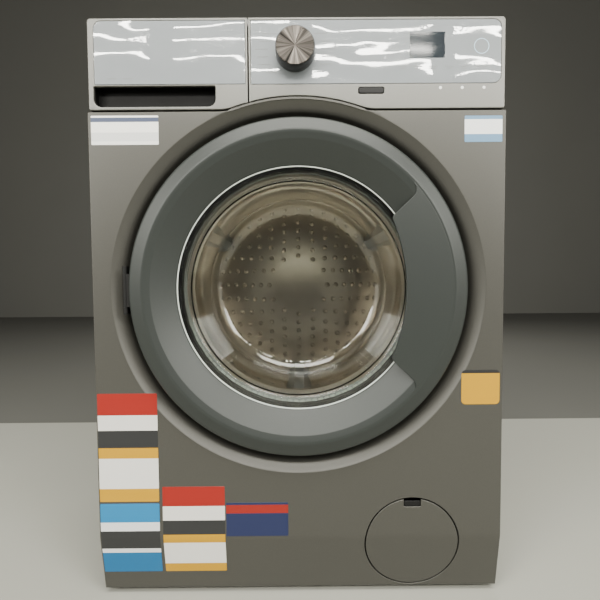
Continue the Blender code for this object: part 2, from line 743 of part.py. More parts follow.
def handle_outline():
    """The grip plate's front view: it follows the ring outside, and bulges away from the glass inside."""
    outer = arc(DOOR_AXIS, DOOR_FLAT_INNER - 0.001, -HANDLE_HALF_ANGLE, HANDLE_HALF_ANGLE, 12)
    run, rise = HANDLE_INNER[0] - HANDLE_ARC_CENTRE, HANDLE_INNER[1]
    angle = math.atan2(rise, run)
    return outer + arc((HANDLE_ARC_CENTRE, DOOR_Z), math.hypot(run, rise), angle, -angle, 10)


def door_pieces(plastic, dark_plastic, glass, steel):
    pivot = body("door", (HINGE_X, depth(-HINGE_AHEAD), DOOR_Z))
    face = -DOOR_PROUD
    wall = MOULDED
    edge = 0.003
    inside = face + wall + 0.0005
    bevel = face + DOOR_BEVEL_DROP
    profile = [(DOOR_RADIUS, depth(DOOR_BACK)), (DOOR_RADIUS, depth(face + edge)),
               (DOOR_RADIUS - edge, depth(face)), (DOOR_FLAT_INNER, depth(face)),
               (DOOR_BEVEL_INNER, depth(bevel)), (GLASS_SIGHT_RADIUS, depth(-0.001)),
               (GLASS_SIGHT_RADIUS, depth(-CLEAR)), (GLASS_SIGHT_RADIUS + wall, depth(-CLEAR)),
               (DOOR_BEVEL_INNER + 0.001, depth(bevel + wall)), (DOOR_FLAT_INNER - 0.001, depth(inside)),
               (DOOR_RADIUS - wall - 0.001, depth(inside)), (DOOR_RADIUS - wall, depth(inside + 0.001)),
               (DOOR_RADIUS - wall, depth(DOOR_BACK))]
    ring = make("door_outer_ring", turned(profile, DOOR_AXIS), plastic, pivot)
    cut(ring, prism(grown(handle_outline(), CLEAR), "Y", depth(face - 0.01), depth(face + HANDLE_THICK + CLEAR)))
    make("door_handle", prism(handle_outline(), "Y", depth(face), depth(face + HANDLE_THICK)), plastic, pivot)

    make("door_glass", turned(strip(door_glass_path(), GLASS_THICK), DOOR_AXIS), glass, pivot)
    back = DOOR_BACK - 0.0015
    plate = back - 0.0035
    outer = DOOR_RADIUS - wall - CLEAR
    clamp = [(BOWL_MOUTH_RADIUS + 0.013, depth(GLASS_THICK + CLEAR)),
             (GLASS_FLANGE_RADIUS, depth(GLASS_THICK + CLEAR)), (GLASS_FLANGE_RADIUS, depth(plate)),
             (outer, depth(plate)), (outer, depth(back)), (BOWL_MOUTH_RADIUS + 0.013, depth(back))]
    make("door_inner_ring", turned(clamp, DOOR_AXIS), dark_plastic, pivot)

    centre = (HINGE_X, depth(-HINGE_AHEAD))
    arm = make("door_hinge_arm", rod(centre, HINGE_BARREL, DOOR_Z - HINGE_DOOR_HALF, DOOR_Z + HINGE_DOOR_HALF,
                                     "Z", 12), steel, pivot)
    join(arm, block((HINGE_X, centre[1] - 0.002, DOOR_Z - HINGE_DOOR_HALF),
                    (HINGE_X + 0.012, centre[1] + 0.002, DOOR_Z + HINGE_DOOR_HALF)))
    cut(arm, rod(centre, HINGE_BORE, DOOR_Z - 0.05, DOOR_Z + 0.05, "Z", 12))
    cut(arm, rod(DOOR_AXIS, DOOR_RADIUS + CLEAR, depth(-0.05), depth(0.05), count=ROUND))

    hook_back = back + CLEAR
    hook_pivot = body("door_hook", (HOOK_X, depth(back), DOOR_Z))
    hook_pivot.parent = pivot
    hook_pivot.location -= pivot.location
    hook = hook_shape(hook_back)
    bmesh.ops.translate(hook, verts=hook.verts, vec=-pivot.location)
    make("door_hook", hook, steel, hook_pivot)


def hook_shape(near):
    """The latch hook: a flat shank with a barb towards the outside of the door."""
    far = near + 0.022
    outline = [(HOOK_X - 0.0025, depth(near)), (HOOK_X + 0.0025, depth(near)), (HOOK_X + 0.0025, depth(far - 0.006)),
               (HOOK_X + 0.0060, depth(far - 0.006)), (HOOK_X + 0.0010, depth(far)),
               (HOOK_X - 0.0025, depth(far))]
    return prism(outline, "Z", DOOR_Z - 0.009, DOOR_Z + 0.009)


def hinge_bracket(steel):
    centre = (HINGE_X, depth(-HINGE_AHEAD))
    knuckle = HINGE_DOOR_HALF + CLEAR
    piece = make("hinge_bracket", block((HINGE_X - 0.0015, centre[1] + HINGE_BARREL + 0.0012, DOOR_Z - HINGE_HALF),
                                        (HINGE_X + 0.0015, depth(DISH_DEPTH - CLEAR), DOOR_Z + HINGE_HALF)), steel)
    for low, high in ((-HINGE_HALF, -knuckle), (knuckle, HINGE_HALF)):
        join(piece, rod(centre, HINGE_BARREL, DOOR_Z + low, DOOR_Z + high, "Z", 12))
        join(piece, block((HINGE_X - 0.0012, centre[1], DOOR_Z + low),
                          (HINGE_X + 0.0012, centre[1] + HINGE_BARREL + 0.002, DOOR_Z + high)))
    join(piece, rod(centre, HINGE_PIN, DOOR_Z - HINGE_HALF + 0.001, DOOR_Z + HINGE_HALF - 0.001, "Z", 8))


def door_lock(plastic):
    near, far = depth(DISH_DEPTH + PRESSED + CLEAR), depth(DISH_DEPTH + 0.020)
    piece = make("door_lock", block((HOOK_X - 0.014, near, DOOR_Z - 0.040), (HOOK_X + 0.014, far, DOOR_Z + 0.040)),
                 plastic)
    cut(piece, lock_slot(0.0005))


def door_gasket(rubber):
    """The bellows between the panel's mouth and the tub's neck."""
    path = [(MOUTH_RADIUS - 0.0025, depth(DISH_DEPTH + MOUTH_NECK)), (MOUTH_RADIUS - 0.0025, depth(DISH_DEPTH)),
            (MOUTH_RADIUS - 0.0090, depth(DISH_DEPTH - 0.0025)), (BOWL_MOUTH_RADIUS + 0.0165, depth(DISH_DEPTH - 0.001)),
            (BOWL_MOUTH_RADIUS + 0.0185, depth(DISH_DEPTH + 0.022)), (MOUTH_RADIUS - 0.0060, depth(DISH_DEPTH + 0.023)),
            (MOUTH_RADIUS - 0.0040, depth(TUB_FRONT - 0.019)), (NECK_RADIUS - 0.0026, depth(TUB_FRONT - 0.016)),
            (NECK_RADIUS - 0.0026, depth(TUB_FRONT))]
    make("door_gasket", turned(strip(path, MOULDED), DOOR_AXIS), rubber)


# ---------------------------------------------------------------- tub, drum and drive


def tub_surface(x, above=True):
    """The height of the tub's outside at one x."""
    rise = math.sqrt(TUB_RADIUS**2 - x**2)
    return DOOR_Z + rise if above else DOOR_Z - rise


def tub_pieces(plastic, concrete, steel, tub_pivot):
    rear = [(TUB_RADIUS, depth(TUB_JOINT + CLEAR)), (TUB_RADIUS, depth(TUB_BACK)), (HUB_RADIUS, depth(TUB_BACK)),
            (HUB_RADIUS, depth(HUB_BACK)), (BEARING_RADIUS + CLEAR, depth(HUB_BACK)),
            (BEARING_RADIUS + CLEAR, depth(HUB_FRONT)), (0.060, depth(HUB_FRONT)),
            (0.060, depth(TUB_BACK - TUB_WALL)), (TUB_RADIUS - TUB_WALL, depth(TUB_BACK - TUB_WALL)),
            (TUB_RADIUS - TUB_WALL, depth(TUB_JOINT + CLEAR))]
    piece = make("tub_rear", turned(rear, DOOR_AXIS), plastic, tub_pivot)
    for side in (-1, 1):
        x = side * SPRING_X
        join(piece, block((x - 0.012, depth(SPRING_DEPTH - 0.012), tub_surface(x) - 0.006),
                          (x + 0.012, depth(SPRING_DEPTH + 0.012), SPRING_BOTTOM - CLEAR)))
    top = tub_surface(MOTOR_X, False)
    saddle = block((MOTOR_X - 0.045, depth(MOTOR_FRONT + 0.02), top - 0.030),
                   (MOTOR_X + 0.045, depth(MOTOR_BACK - 0.02), top + TUB_WALL / 2))
    join(piece, saddle)
    cut(piece, rod((MOTOR_X, MOTOR_Z), MOTOR_RADIUS + CLEAR, depth(MOTOR_FRONT - 0.01), depth(MOTOR_BACK + 0.01),
                   count=24))

    front = [(TUB_RADIUS, depth(TUB_JOINT)), (TUB_RADIUS - TUB_WALL, depth(TUB_JOINT)),
             (TUB_RADIUS - TUB_WALL, depth(TUB_FRONT + TUB_WALL)), (NECK_RADIUS, depth(TUB_FRONT + TUB_WALL)),
             (NECK_RADIUS, depth(TUB_FRONT - 0.008)), (NECK_RADIUS + TUB_WALL, depth(TUB_FRONT - 0.008)),
             (NECK_RADIUS + TUB_WALL, depth(TUB_FRONT)), (TUB_RADIUS, depth(TUB_FRONT))]
    piece = make("tub_front", turned(front, DOOR_AXIS), plastic, tub_pivot)
    inner = DOOR_Z - math.sqrt((TUB_RADIUS - TUB_WALL) ** 2 - DAMPER_X**2)
    for side in (-1, 1):
        x = side * DAMPER_X
        join(piece, block((x - 0.010, depth(DAMPER_DEPTH - 0.010), damper_lug_bottom()),
                          (x + 0.010, depth(DAMPER_DEPTH + 0.010), inner - 0.008)))
    fill = (FILL_X, depth(FILL_DEPTH))
    join(piece, rod(fill, 0.021, tub_surface(FILL_X) - 0.016, tub_fill_top(), "Z"))
    cut(piece, rod(fill, 0.017, tub_surface(FILL_X) - 0.040, tub_fill_top() + 0.01, "Z"))
    sump = (SUMP_X, depth(SUMP_DEPTH))
    join(piece, rod(sump, 0.016, sump_bottom(), tub_surface(SUMP_X, False) + 0.001, "Z"))
    cut(piece, rod(sump, 0.012, sump_bottom() - 0.01, tub_surface(SUMP_X, False) + 0.012, "Z"))
    cut(piece, rod(DOOR_AXIS, TUB_RADIUS - TUB_WALL - 0.001, depth(TUB_FRONT + TUB_WALL + 0.001),
                   depth(TUB_JOINT + 0.01), count=ROUND))

    weight = [(WEIGHT_OUTER, depth(WEIGHT_FRONT)), (WEIGHT_OUTER, depth(TUB_FRONT - CLEAR)),
              (WEIGHT_INNER, depth(TUB_FRONT - CLEAR)), (WEIGHT_INNER, depth(WEIGHT_FRONT))]
    make("front_counterweight", turned(weight, DOOR_AXIS), concrete, tub_pivot)
    ring = [(SHAFT_RADIUS + 0.001, depth(HUB_FRONT)), (BEARING_RADIUS, depth(HUB_FRONT)),
            (BEARING_RADIUS, depth(HUB_BACK)), (SHAFT_RADIUS + 0.001, depth(HUB_BACK))]
    make("drum_bearing", turned(ring, DOOR_AXIS), steel, tub_pivot)


def damper_lug_bottom():
    return tub_surface(DAMPER_X, False) - 0.012


def tub_fill_top():
    return tub_surface(FILL_X) + 0.022


def sump_bottom():
    return tub_surface(SUMP_X, False) - 0.016


def drum_pieces(stainless, aluminium, plastic, tub_pivot):
    pivot = body("drum", (0, depth((DRUM_FRONT + DRUM_BACK) / 2), DOOR_Z))
    pivot.parent = tub_pivot
    pivot.location -= tub_pivot.location
    bend = 0.004
    wall = DRUM_WALL
    lip = 0.008
    inner = DRUM_RADIUS - wall
    profile = [(DRUM_MOUTH, depth(DRUM_FRONT)), (DRUM_RADIUS - bend, depth(DRUM_FRONT)),
               (DRUM_RADIUS, depth(DRUM_FRONT + bend)), (DRUM_RADIUS, depth(DRUM_BACK - bend)),
               (DRUM_RADIUS - bend, depth(DRUM_BACK)), (0, depth(DRUM_BACK)), (0, depth(DRUM_BACK - wall)),
               (inner - bend, depth(DRUM_BACK - wall)), (inner, depth(DRUM_BACK - wall - bend)),
               (inner, depth(DRUM_FRONT + wall + bend)), (inner - bend, depth(DRUM_FRONT + wall)),
               (DRUM_MOUTH + wall, depth(DRUM_FRONT + wall)), (DRUM_MOUTH + wall, depth(DRUM_FRONT + lip)),
               (DRUM_MOUTH, depth(DRUM_FRONT + lip))]
    make_on("drum_shell", turned(profile, DOOR_AXIS), stainless, pivot, tub_pivot)

    star = []
    for arm in range(LIFTERS):
        middle = math.pi / 2 + math.tau * arm / LIFTERS
        star += arc(DOOR_AXIS, DRUM_RADIUS - 0.020, middle - 0.08, middle + 0.08, 1)
        star += arc(DOOR_AXIS, 0.050, middle + 0.6, middle + math.tau / LIFTERS - 0.6, 1)
    near = DRUM_BACK + CLEAR
    spider = make_on("spider_shaft", prism(star, "Y", depth(near), depth(near + 0.017)), aluminium, pivot, tub_pivot)
    shaft = rod(DOOR_AXIS, SHAFT_RADIUS, depth(near + 0.010), depth(PULLEY_BACK + 0.004))
    bmesh.ops.translate(shaft, verts=shaft.verts, vec=-tub_pivot.location)
    join(spider, shaft)

    reach = DRUM_RADIUS - wall - 0.0012
    for index in range(LIFTERS):
        middle = math.pi / 6 + math.tau * index / LIFTERS
        section = arc(DOOR_AXIS, reach, middle - 0.12, middle + 0.12, 4)
        section += arc(DOOR_AXIS, LIFTER_TOP, middle + 0.05, middle - 0.05, 2)
        make_on(f"drum_lifter_{index + 1}", prism(section, "Y", depth(DRUM_FRONT + 0.018), depth(DRUM_BACK - 0.012)),
                plastic, pivot, tub_pivot)

    rim = PULLEY_RADIUS - 0.006
    web = (PULLEY_FRONT + PULLEY_BACK) / 2
    bore = SHAFT_RADIUS + CLEAR
    profile = [(PULLEY_RADIUS, depth(PULLEY_FRONT)), (PULLEY_RADIUS, depth(PULLEY_BACK)), (rim, depth(PULLEY_BACK)),
               (rim, depth(web + 0.002)), (0.022, depth(web + 0.002)), (0.022, depth(PULLEY_BACK + 0.002)),
               (bore, depth(PULLEY_BACK + 0.002)), (bore, depth(PULLEY_FRONT - 0.002)),
               (0.022, depth(PULLEY_FRONT - 0.002)), (0.022, depth(web - 0.002)), (rim, depth(web - 0.002)),
               (rim, depth(PULLEY_FRONT))]
    make_on("drum_pulley", turned(profile, DOOR_AXIS, count=32), aluminium, pivot, tub_pivot)


def make_on(name, shape, surface, pivot, grand_pivot):
    """An object on a body that itself hangs on another moving body."""
    bmesh.ops.translate(shape, verts=shape.verts, vec=-grand_pivot.location)
    return make(name, shape, surface, pivot)


def drive_pieces(steel, rubber, tub_pivot):
    centre = (MOTOR_X, MOTOR_Z)
    bore = 0.008
    inside = MOTOR_FRONT + 0.065
    profile = [(0, depth(MOTOR_FRONT)), (MOTOR_RADIUS, depth(MOTOR_FRONT)), (MOTOR_RADIUS, depth(MOTOR_BACK)),
               (bore, depth(MOTOR_BACK)), (bore, depth(inside)), (0, depth(inside))]
    make("motor_stator", turned(profile, centre, count=24), steel, tub_pivot)
    pivot = body("motor_rotor", (MOTOR_X, depth(MOTOR_BACK), MOTOR_Z))
    pivot.parent = tub_pivot
    pivot.location -= tub_pivot.location
    profile = [(0, depth(inside + CLEAR)), (0.006, depth(inside + CLEAR)), (0.006, depth(PULLEY_FRONT)),
               (MOTOR_PULLEY, depth(PULLEY_FRONT)), (MOTOR_PULLEY, depth(PULLEY_BACK)), (0, depth(PULLEY_BACK))]
    make_on("motor_rotor", turned(profile, centre, count=SMALL_ROUND), steel, pivot, tub_pivot)

    belt = make("drive_belt", belt_loop(BELT_THICK), rubber, tub_pivot)
    cut(belt, belt_loop(0.0, 0.001))


def belt_loop(thickness, overrun=0.0):
    """The space inside the outline of a belt that runs round both pulleys."""
    gap = CLEAR + 0.0003 + thickness
    across = Vector((MOTOR_X, MOTOR_Z - DOOR_Z))
    towards = math.atan2(across.y, across.x)
    spread = math.acos((PULLEY_RADIUS - MOTOR_PULLEY) / across.length)
    outline = arc(DOOR_AXIS, PULLEY_RADIUS + gap, towards + spread, towards + math.tau - spread, 36)
    outline += arc((MOTOR_X, MOTOR_Z), MOTOR_PULLEY + gap, towards - spread, towards + spread, 6)
    return prism(outline, "Y", depth(PULLEY_FRONT + 0.0015 - overrun), depth(PULLEY_BACK - 0.0015 + overrun))


def drying_pieces(plastic, steel, tub_pivot):
    low = DOOR_Z + 0.14
    outline = rounded((-0.030, depth(0.085)), (FAN_X + 0.055, depth(FAN_DEPTH + 0.055)), (0.03, 0.02, 0.055, 0.03), 4)
    piece = make("drying_duct", prism(outline, "Z", low, DUCT_TOP), plastic, tub_pivot)
    cut(piece, rod(DOOR_AXIS, TUB_RADIUS + CLEAR, depth(0.05), depth(0.50), count=ROUND))
    cut(piece, rod((FAN_X, depth(FAN_DEPTH)), 0.048, DUCT_TOP - 0.045, DUCT_TOP + 0.01, "Z", 24))
    pivot = body("drying_fan", (FAN_X, depth(FAN_DEPTH), DUCT_TOP))
    pivot.parent = tub_pivot
    pivot.location -= tub_pivot.location
    blades = []
    for blade in range(8):
        middle = math.tau * blade / 8
        blades += arc((FAN_X, depth(FAN_DEPTH)), 0.042, middle - 0.06, middle + 0.06, 1)
        blades += arc((FAN_X, depth(FAN_DEPTH)), 0.014, middle + 0.3, middle + math.tau / 8 - 0.3, 1)
    make_on("fan_impeller", prism(blades, "Z", DUCT_TOP - 0.040, DUCT_TOP - 0.008), steel, pivot, tub_pivot)


# ---------------------------------------------------------------- suspension, pump and water


def suspension(steel, plastic, tub_pivot):
    lug = damper_lug_bottom()
    for name, side in (("left", -1), ("right", 1)):
        spring = (side * SPRING_X, depth(SPRING_DEPTH))
        make(f"spring_{name}", coil(spring, SPRING_RADIUS, SPRING_WIRE, SPRING_BOTTOM, SPRING_TOP, SPRING_TURNS), steel)
        damper = (side * DAMPER_X, depth(DAMPER_DEPTH))
        floor = FLOOR_TOP + CLEAR
        blind = DAMPER_ROD_END - 0.015
        profile = [(0, floor), (DAMPER_RADIUS, floor), (DAMPER_RADIUS, DAMPER_TOP), (DAMPER_BORE, DAMPER_TOP),
                   (DAMPER_BORE, blind), (0, blind)]
        make(f"damper_cylinder_{name}", turned(profile, damper, "Z", SMALL_ROUND), plastic)
        make(f"damper_rod_{name}", rod(damper, DAMPER_ROD, DAMPER_ROD_END, lug - CLEAR, "Z"), steel, tub_pivot)


def pump_pieces(plastic, rubber):
    centre = (FILTER_X, FILTER_Z)
    profile = [(PUMP_BORE, depth(PUMP_FRONT)), (PUMP_RADIUS, depth(PUMP_FRONT)), (PUMP_RADIUS, depth(PUMP_BACK)),
               (0, depth(PUMP_BACK)), (0, depth(PUMP_CHAMBER_BACK)), (PUMP_BORE, depth(PUMP_CHAMBER_BACK))]
    housing = make("pump_housing", turned(profile, centre, count=24), plastic)
    join(housing, block((FILTER_X - 0.020, depth(0.080), FLOOR_TOP + CLEAR),
                        (FILTER_X + 0.020, depth(0.170), FILTER_Z - PUMP_RADIUS + 0.004)))

    plug_pivot = body("filter_plug", (FILTER_X, depth(PUMP_FRONT), FILTER_Z))
    head = PUMP_FRONT - 0.0065
    profile = [(0, depth(head)), (PUMP_RADIUS - 0.003, depth(head)), (PUMP_RADIUS - 0.003, depth(PUMP_FRONT - 0.0005)),
               (PUMP_BORE - 0.001, depth(PUMP_FRONT - 0.0005)), (PUMP_BORE - 0.001, depth(0.108)), (0, depth(0.108))]
    plug = make("filter_plug", turned(profile, centre, count=24), plastic, plug_pivot)
    join(plug, block((FILTER_X - 0.022, depth(head - 0.014), FILTER_Z - 0.004),
                     (FILTER_X + 0.022, depth(head + 0.001), FILTER_Z + 0.004)))

    impeller_pivot = body("pump_impeller", (FILTER_X, depth(PUMP_CHAMBER_BACK), FILTER_Z))
    blades = []
    for blade in range(4):
        middle = math.tau * blade / 4
        blades += arc(centre, PUMP_BORE - 0.004, middle - 0.08, middle + 0.08, 1)
        blades += arc(centre, 0.006, middle + 0.5, middle + math.pi / 2 - 0.5, 1)
    make("pump_impeller", prism(blades, "Y", depth(0.116), depth(PUMP_CHAMBER_BACK - 0.004)), plastic, impeller_pivot)

    sump = (SUMP_X, depth(SUMP_DEPTH))
    hose("sump_hose", [(*sump, sump_bottom() - HOSE_END_GAP), (*sump, sump_bottom() - 0.035),
                       (SUMP_X + 0.012, depth(SUMP_DEPTH - 0.010), FILTER_Z + 0.030),
                       (SUMP_X + 0.046, depth(SUMP_DEPTH - 0.020), FILTER_Z),
                       (FILTER_X - PUMP_RADIUS - HOSE_END_GAP, depth(SUMP_DEPTH - 0.020), FILTER_Z)], 0.011, rubber)
    side = HALF - 0.024
    outlet = (side - 0.010, DRAIN_OUTLET_Z)
    hose("drain_hose", [(FILTER_X + PUMP_RADIUS + HOSE_END_GAP, depth(0.150), FILTER_Z),
                        (FILTER_X + PUMP_RADIUS + 0.024, depth(0.150), FILTER_Z),
                        (side, depth(0.200), FILTER_Z + 0.010), (side, depth(0.320), FILTER_Z + 0.030),
                        (side, depth(0.450), FILTER_Z + 0.090), (side, depth(0.520), FILTER_Z + 0.260),
                        (side, depth(0.530), DRAIN_OUTLET_Z - 0.120),
                        (side - 0.004, depth(0.545), DRAIN_OUTLET_Z - 0.040),
                        (outlet[0], REAR - 0.026, outlet[1]),
                        (outlet[0], REAR - SHEET - HOSE_END_GAP, outlet[1])],
         0.011, rubber)


def filter_cover(paint):
    """The round cover in the front panel, bent along the same crease, with a notch for a coin at its top."""
    hinge_y = FRONT + (CREASE_Z - FILTER_HINGE_Z) * math.tan(LEAN) + SHEET / 2
    pivot = body("filter_cover", (FILTER_X, hinge_y, FILTER_HINGE_Z))
    piece = make("filter_cover", rod((FILTER_X, FILTER_Z), FILTER_COVER_RADIUS, FRONT - 0.01, depth(0.04),
                                     count=ROUND), paint, pivot)
    sheet = bent_sheet(SHEET)
    combine(piece, sheet, "INTERSECT")
    top = FILTER_Z + FILTER_COVER_RADIUS
    cut(piece, block((FILTER_X - 0.0125, FRONT - 0.001, top - 0.0125), (FILTER_X + 0.0125, depth(0.0007), top + 0.01)))


def water_and_power(plastic, rubber):
    near = REAR - 0.060
    low = (SPIGOTS_X[0] - 0.022, near, SPIGOT_Z - 0.020)
    high = (SPIGOTS_X[1] + 0.022, REAR - SHEET - CLEAR, SPIGOT_Z + 0.020)
    valve = make("inlet_valve", block(low, high), plastic)
    for x in SPIGOTS_X:
        join(valve, rod((x, SPIGOT_Z), SPIGOT_RADIUS, REAR - 0.01, REAR + SPIGOT_PROUD))
        cut(valve, rod((x, SPIGOT_Z), SPIGOT_RADIUS - 0.003, REAR + 0.004, REAR + SPIGOT_PROUD + 0.01, count=12))
    inlet = make("power_inlet", block((POWER_X - 0.015, REAR - 0.020, POWER_Z - 0.015),
                                      (POWER_X + 0.015, REAR + 0.010, POWER_Z + 0.015)), plastic)
    cut(inlet, rod((POWER_X, POWER_Z), 0.005, REAR - 0.010, REAR + 0.02, count=12))
    top, bottom = fill_spout_bottom() - CLEAR, tub_fill_top() + CLEAR
    middle = (top + bottom) / 2
    section = [(0.017, bottom), (0.021, bottom), (0.025, middle), (0.021, top), (0.017, top), (0.021, middle)]
    make("fill_hose", turned(section, (FILL_X, depth(FILL_DEPTH)), "Z", SMALL_ROUND), rubber)


# ---------------------------------------------------------------- the machine


def clear_scene():
    for item in list(bpy.data.objects):
        bpy.data.objects.remove(item)


def main():
    clear_scene()
    paint = finish("dark_silver_paint", (0.095, 0.092, 0.088), 0.42, 0.6)
    fascia = finish("dark_silver_plastic", (0.15, 0.145, 0.135), 0.4, 0.3)
    gloss = finish("glossy_inlay", (0.30, 0.33, 0.35), 0.12)
    ring_plastic = finish("slate_plastic", (0.075, 0.083, 0.080), 0.45)
    black = finish("black_plastic", (0.02, 0.02, 0.02), 0.5)
    grey_plastic = finish("grey_plastic", (0.35, 0.36, 0.37), 0.5)
    white_plastic = finish("white_plastic", (0.75, 0.76, 0.76), 0.4)
    galvanised = finish("galvanised_steel", (0.42, 0.43, 0.44), 0.4, 1.0)
    stainless = finish("stainless_steel", (0.55, 0.55, 0.54), 0.25, 1.0)
    knob_metal = finish("brushed_knob", (0.12, 0.12, 0.12), 0.3, 0.9)
    glass = finish("door_glass", (0.85, 0.87, 0.87), 0.03, 0.0, 0.3)
    rubber = finish("grey_rubber", (0.28, 0.28, 0.28), 0.7)
    black_rubber = finish("black_rubber", (0.03, 0.03, 0.03), 0.7)
    concrete = finish("concrete", (0.38, 0.37, 0.35), 0.9)

    base_tray(black)
    levelling_feet(black_rubber)
    side_panels(paint)
    rear_panel(galvanised)
    rear_access_cover(galvanised)
    worktop(paint)
    top_brace(galvanised)
    front_panel(paint)
    control_panel(fascia)
    fascia_inlay(gloss)
    programme_knob(knob_metal)
    power_button(fascia)
    drawer_pieces(fascia, gloss, white_plastic)
    dispenser_housing(white_plastic)

    tub_pivot = body("tub", (0, depth((TUB_FRONT + TUB_BACK) / 2), DOOR_Z))
    tub_pieces(grey_plastic, concrete, galvanised, tub_pivot)
    drum_pieces(stainless, galvanised, stainless, tub_pivot)
    drive_pieces(galvanised, black_rubber, tub_pivot)
    drying_pieces(grey_plastic, black, tub_pivot)
    suspension(galvanised, grey_plastic, tub_pivot)

    door_pieces(ring_plastic, black, glass, galvanised)
    hinge_bracket(black)
    door_lock(black)
    door_gasket(rubber)
    pump_pieces(grey_plastic, black_rubber)
    filter_cover(paint)
    water_and_power(grey_plastic, rubber)


main()
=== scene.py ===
"""A front loading washer and dryer in dark metallic grey: the shapes, finishes and light for its picture."""
import json
import math

import bmesh
import bpy
from mathutils import Matrix, Quaternion, Vector


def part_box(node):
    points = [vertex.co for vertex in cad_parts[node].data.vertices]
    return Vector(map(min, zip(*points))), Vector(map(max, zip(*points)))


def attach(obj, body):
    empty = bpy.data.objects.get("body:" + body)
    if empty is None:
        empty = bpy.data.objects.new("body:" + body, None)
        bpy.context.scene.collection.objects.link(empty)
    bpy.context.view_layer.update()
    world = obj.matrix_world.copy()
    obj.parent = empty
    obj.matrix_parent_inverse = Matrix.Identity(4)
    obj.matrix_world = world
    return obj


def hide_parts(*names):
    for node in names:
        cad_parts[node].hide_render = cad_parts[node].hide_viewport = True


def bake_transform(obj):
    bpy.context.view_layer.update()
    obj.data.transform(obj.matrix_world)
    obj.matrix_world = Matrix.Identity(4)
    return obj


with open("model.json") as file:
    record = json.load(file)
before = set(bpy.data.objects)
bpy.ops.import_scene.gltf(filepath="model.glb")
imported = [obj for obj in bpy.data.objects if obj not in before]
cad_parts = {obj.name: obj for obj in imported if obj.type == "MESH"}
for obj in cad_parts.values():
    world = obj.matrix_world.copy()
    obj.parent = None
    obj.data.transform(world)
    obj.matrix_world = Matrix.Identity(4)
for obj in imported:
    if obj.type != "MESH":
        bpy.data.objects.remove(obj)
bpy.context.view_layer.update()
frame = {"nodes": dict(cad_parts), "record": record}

# ------------ sizes, in metres

PANEL_LOW, PANEL_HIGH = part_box("front_panel")
FRONT = PANEL_LOW.y
HALF = PANEL_HIGH.x
RING_LOW, RING_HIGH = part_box("door_outer_ring")
AXIS = ((RING_LOW.x + RING_HIGH.x) / 2, (RING_LOW.z + RING_HIGH.z) / 2)
RING_RADIUS = (RING_HIGH.z - RING_LOW.z) / 2
RING_FACE = RING_LOW.y
FASCIA_LOW, FASCIA_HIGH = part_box("control_panel")
DRAWER_LOW, DRAWER_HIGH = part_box("drawer_front")
KNOB_LOW, KNOB_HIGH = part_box("programme_knob")
KNOB = ((KNOB_LOW.x + KNOB_HIGH.x) / 2, (KNOB_LOW.z + KNOB_HIGH.z) / 2)
KNOB_RADIUS = (KNOB_HIGH.x - KNOB_LOW.x) / 2
COVER_LOW, COVER_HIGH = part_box("filter_cover")
COVER = ((COVER_LOW.x + COVER_HIGH.x) / 2, (COVER_LOW.z + COVER_HIGH.z) / 2)
COVER_RADIUS = (COVER_HIGH.x - COVER_LOW.x) / 2
DRUM_LOW, DRUM_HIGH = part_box("drum_shell")
DRUM_RADIUS = (DRUM_HIGH.x - DRUM_LOW.x) / 2

SEAM = 0.0025            # the gap between the fascia and the sheet below it
SHEET = 0.0007           # real sheet steel
ARCH_RADIUS = 0.2752
ARCH_BLEND = 0.070
FASCIA_BOTTOM = DRAWER_LOW.z
DISH_RADIUS = 0.272
DISH_FLOOR = 0.253
DISH_DEPTH = 0.026
MOUTH_RADIUS = 0.196
CREASE = 0.096           # the height of the soft bend near the foot of the panel
LEAN = math.tan(math.radians(10))
GLASS_RADIUS = 0.1765
BOWL_MOUTH = 0.1575
BOWL_END = 0.124
HOOK_X = 0.222


def depth(distance):
    return FRONT + distance


# ------------ outlines


def arc(centre, radius, start, end, steps):
    """Points of a circular arc in the front view, both ends included, with the angles in radians."""
    points = []
    for step in range(steps + 1):
        angle = start + (end - start) * step / steps
        points.append((centre[0] + radius * math.cos(angle), centre[1] + radius * math.sin(angle)))
    return points


def circle(centre, radius, count):
    return arc(centre, radius, 0, math.tau * (count - 1) / count, count - 1)


def rounded(low, high, radii, steps=8):
    """A rectangle with its own corner radii: lower left, lower right, upper right, upper left."""
    corners = ((low[0], low[1]), (high[0], low[1]), (high[0], high[1]), (low[0], high[1]))
    inward = ((1, 1), (-1, 1), (-1, -1), (1, -1))
    points = []
    for index, radius in enumerate(radii):
        x, z = corners[index]
        centre = (x + inward[index][0] * radius, z + inward[index][1] * radius)
        start = math.pi + index * math.pi / 2
        points += arc(centre, radius, start, start + math.pi / 2, steps)
    return points


def arch(margin):
    """The lower edge of the fascia from left to right, moved down by the margin."""
    blend = ARCH_BLEND + margin
    level = FASCIA_BOTTOM + ARCH_BLEND
    reach = ARCH_RADIUS + ARCH_BLEND
    blend_x = math.sqrt(reach**2 - (level - AXIS[1]) ** 2)
    turn = math.atan2(level - AXIS[1], blend_x)
    left = arc((-blend_x, level), blend, -math.pi / 2, -turn, 10)
    top = arc(AXIS, ARCH_RADIUS - margin, math.pi - turn, turn, 56)
    right = [(-x, z) for x, z in reversed(left)]
    return left + top[1:-1] + right


def bezier(start, corner, end, steps):
    points = []
    for step in range(steps + 1):
        share = step / steps
        points.append(start.lerp(corner, share).lerp(corner.lerp(end, share), share))
    return points


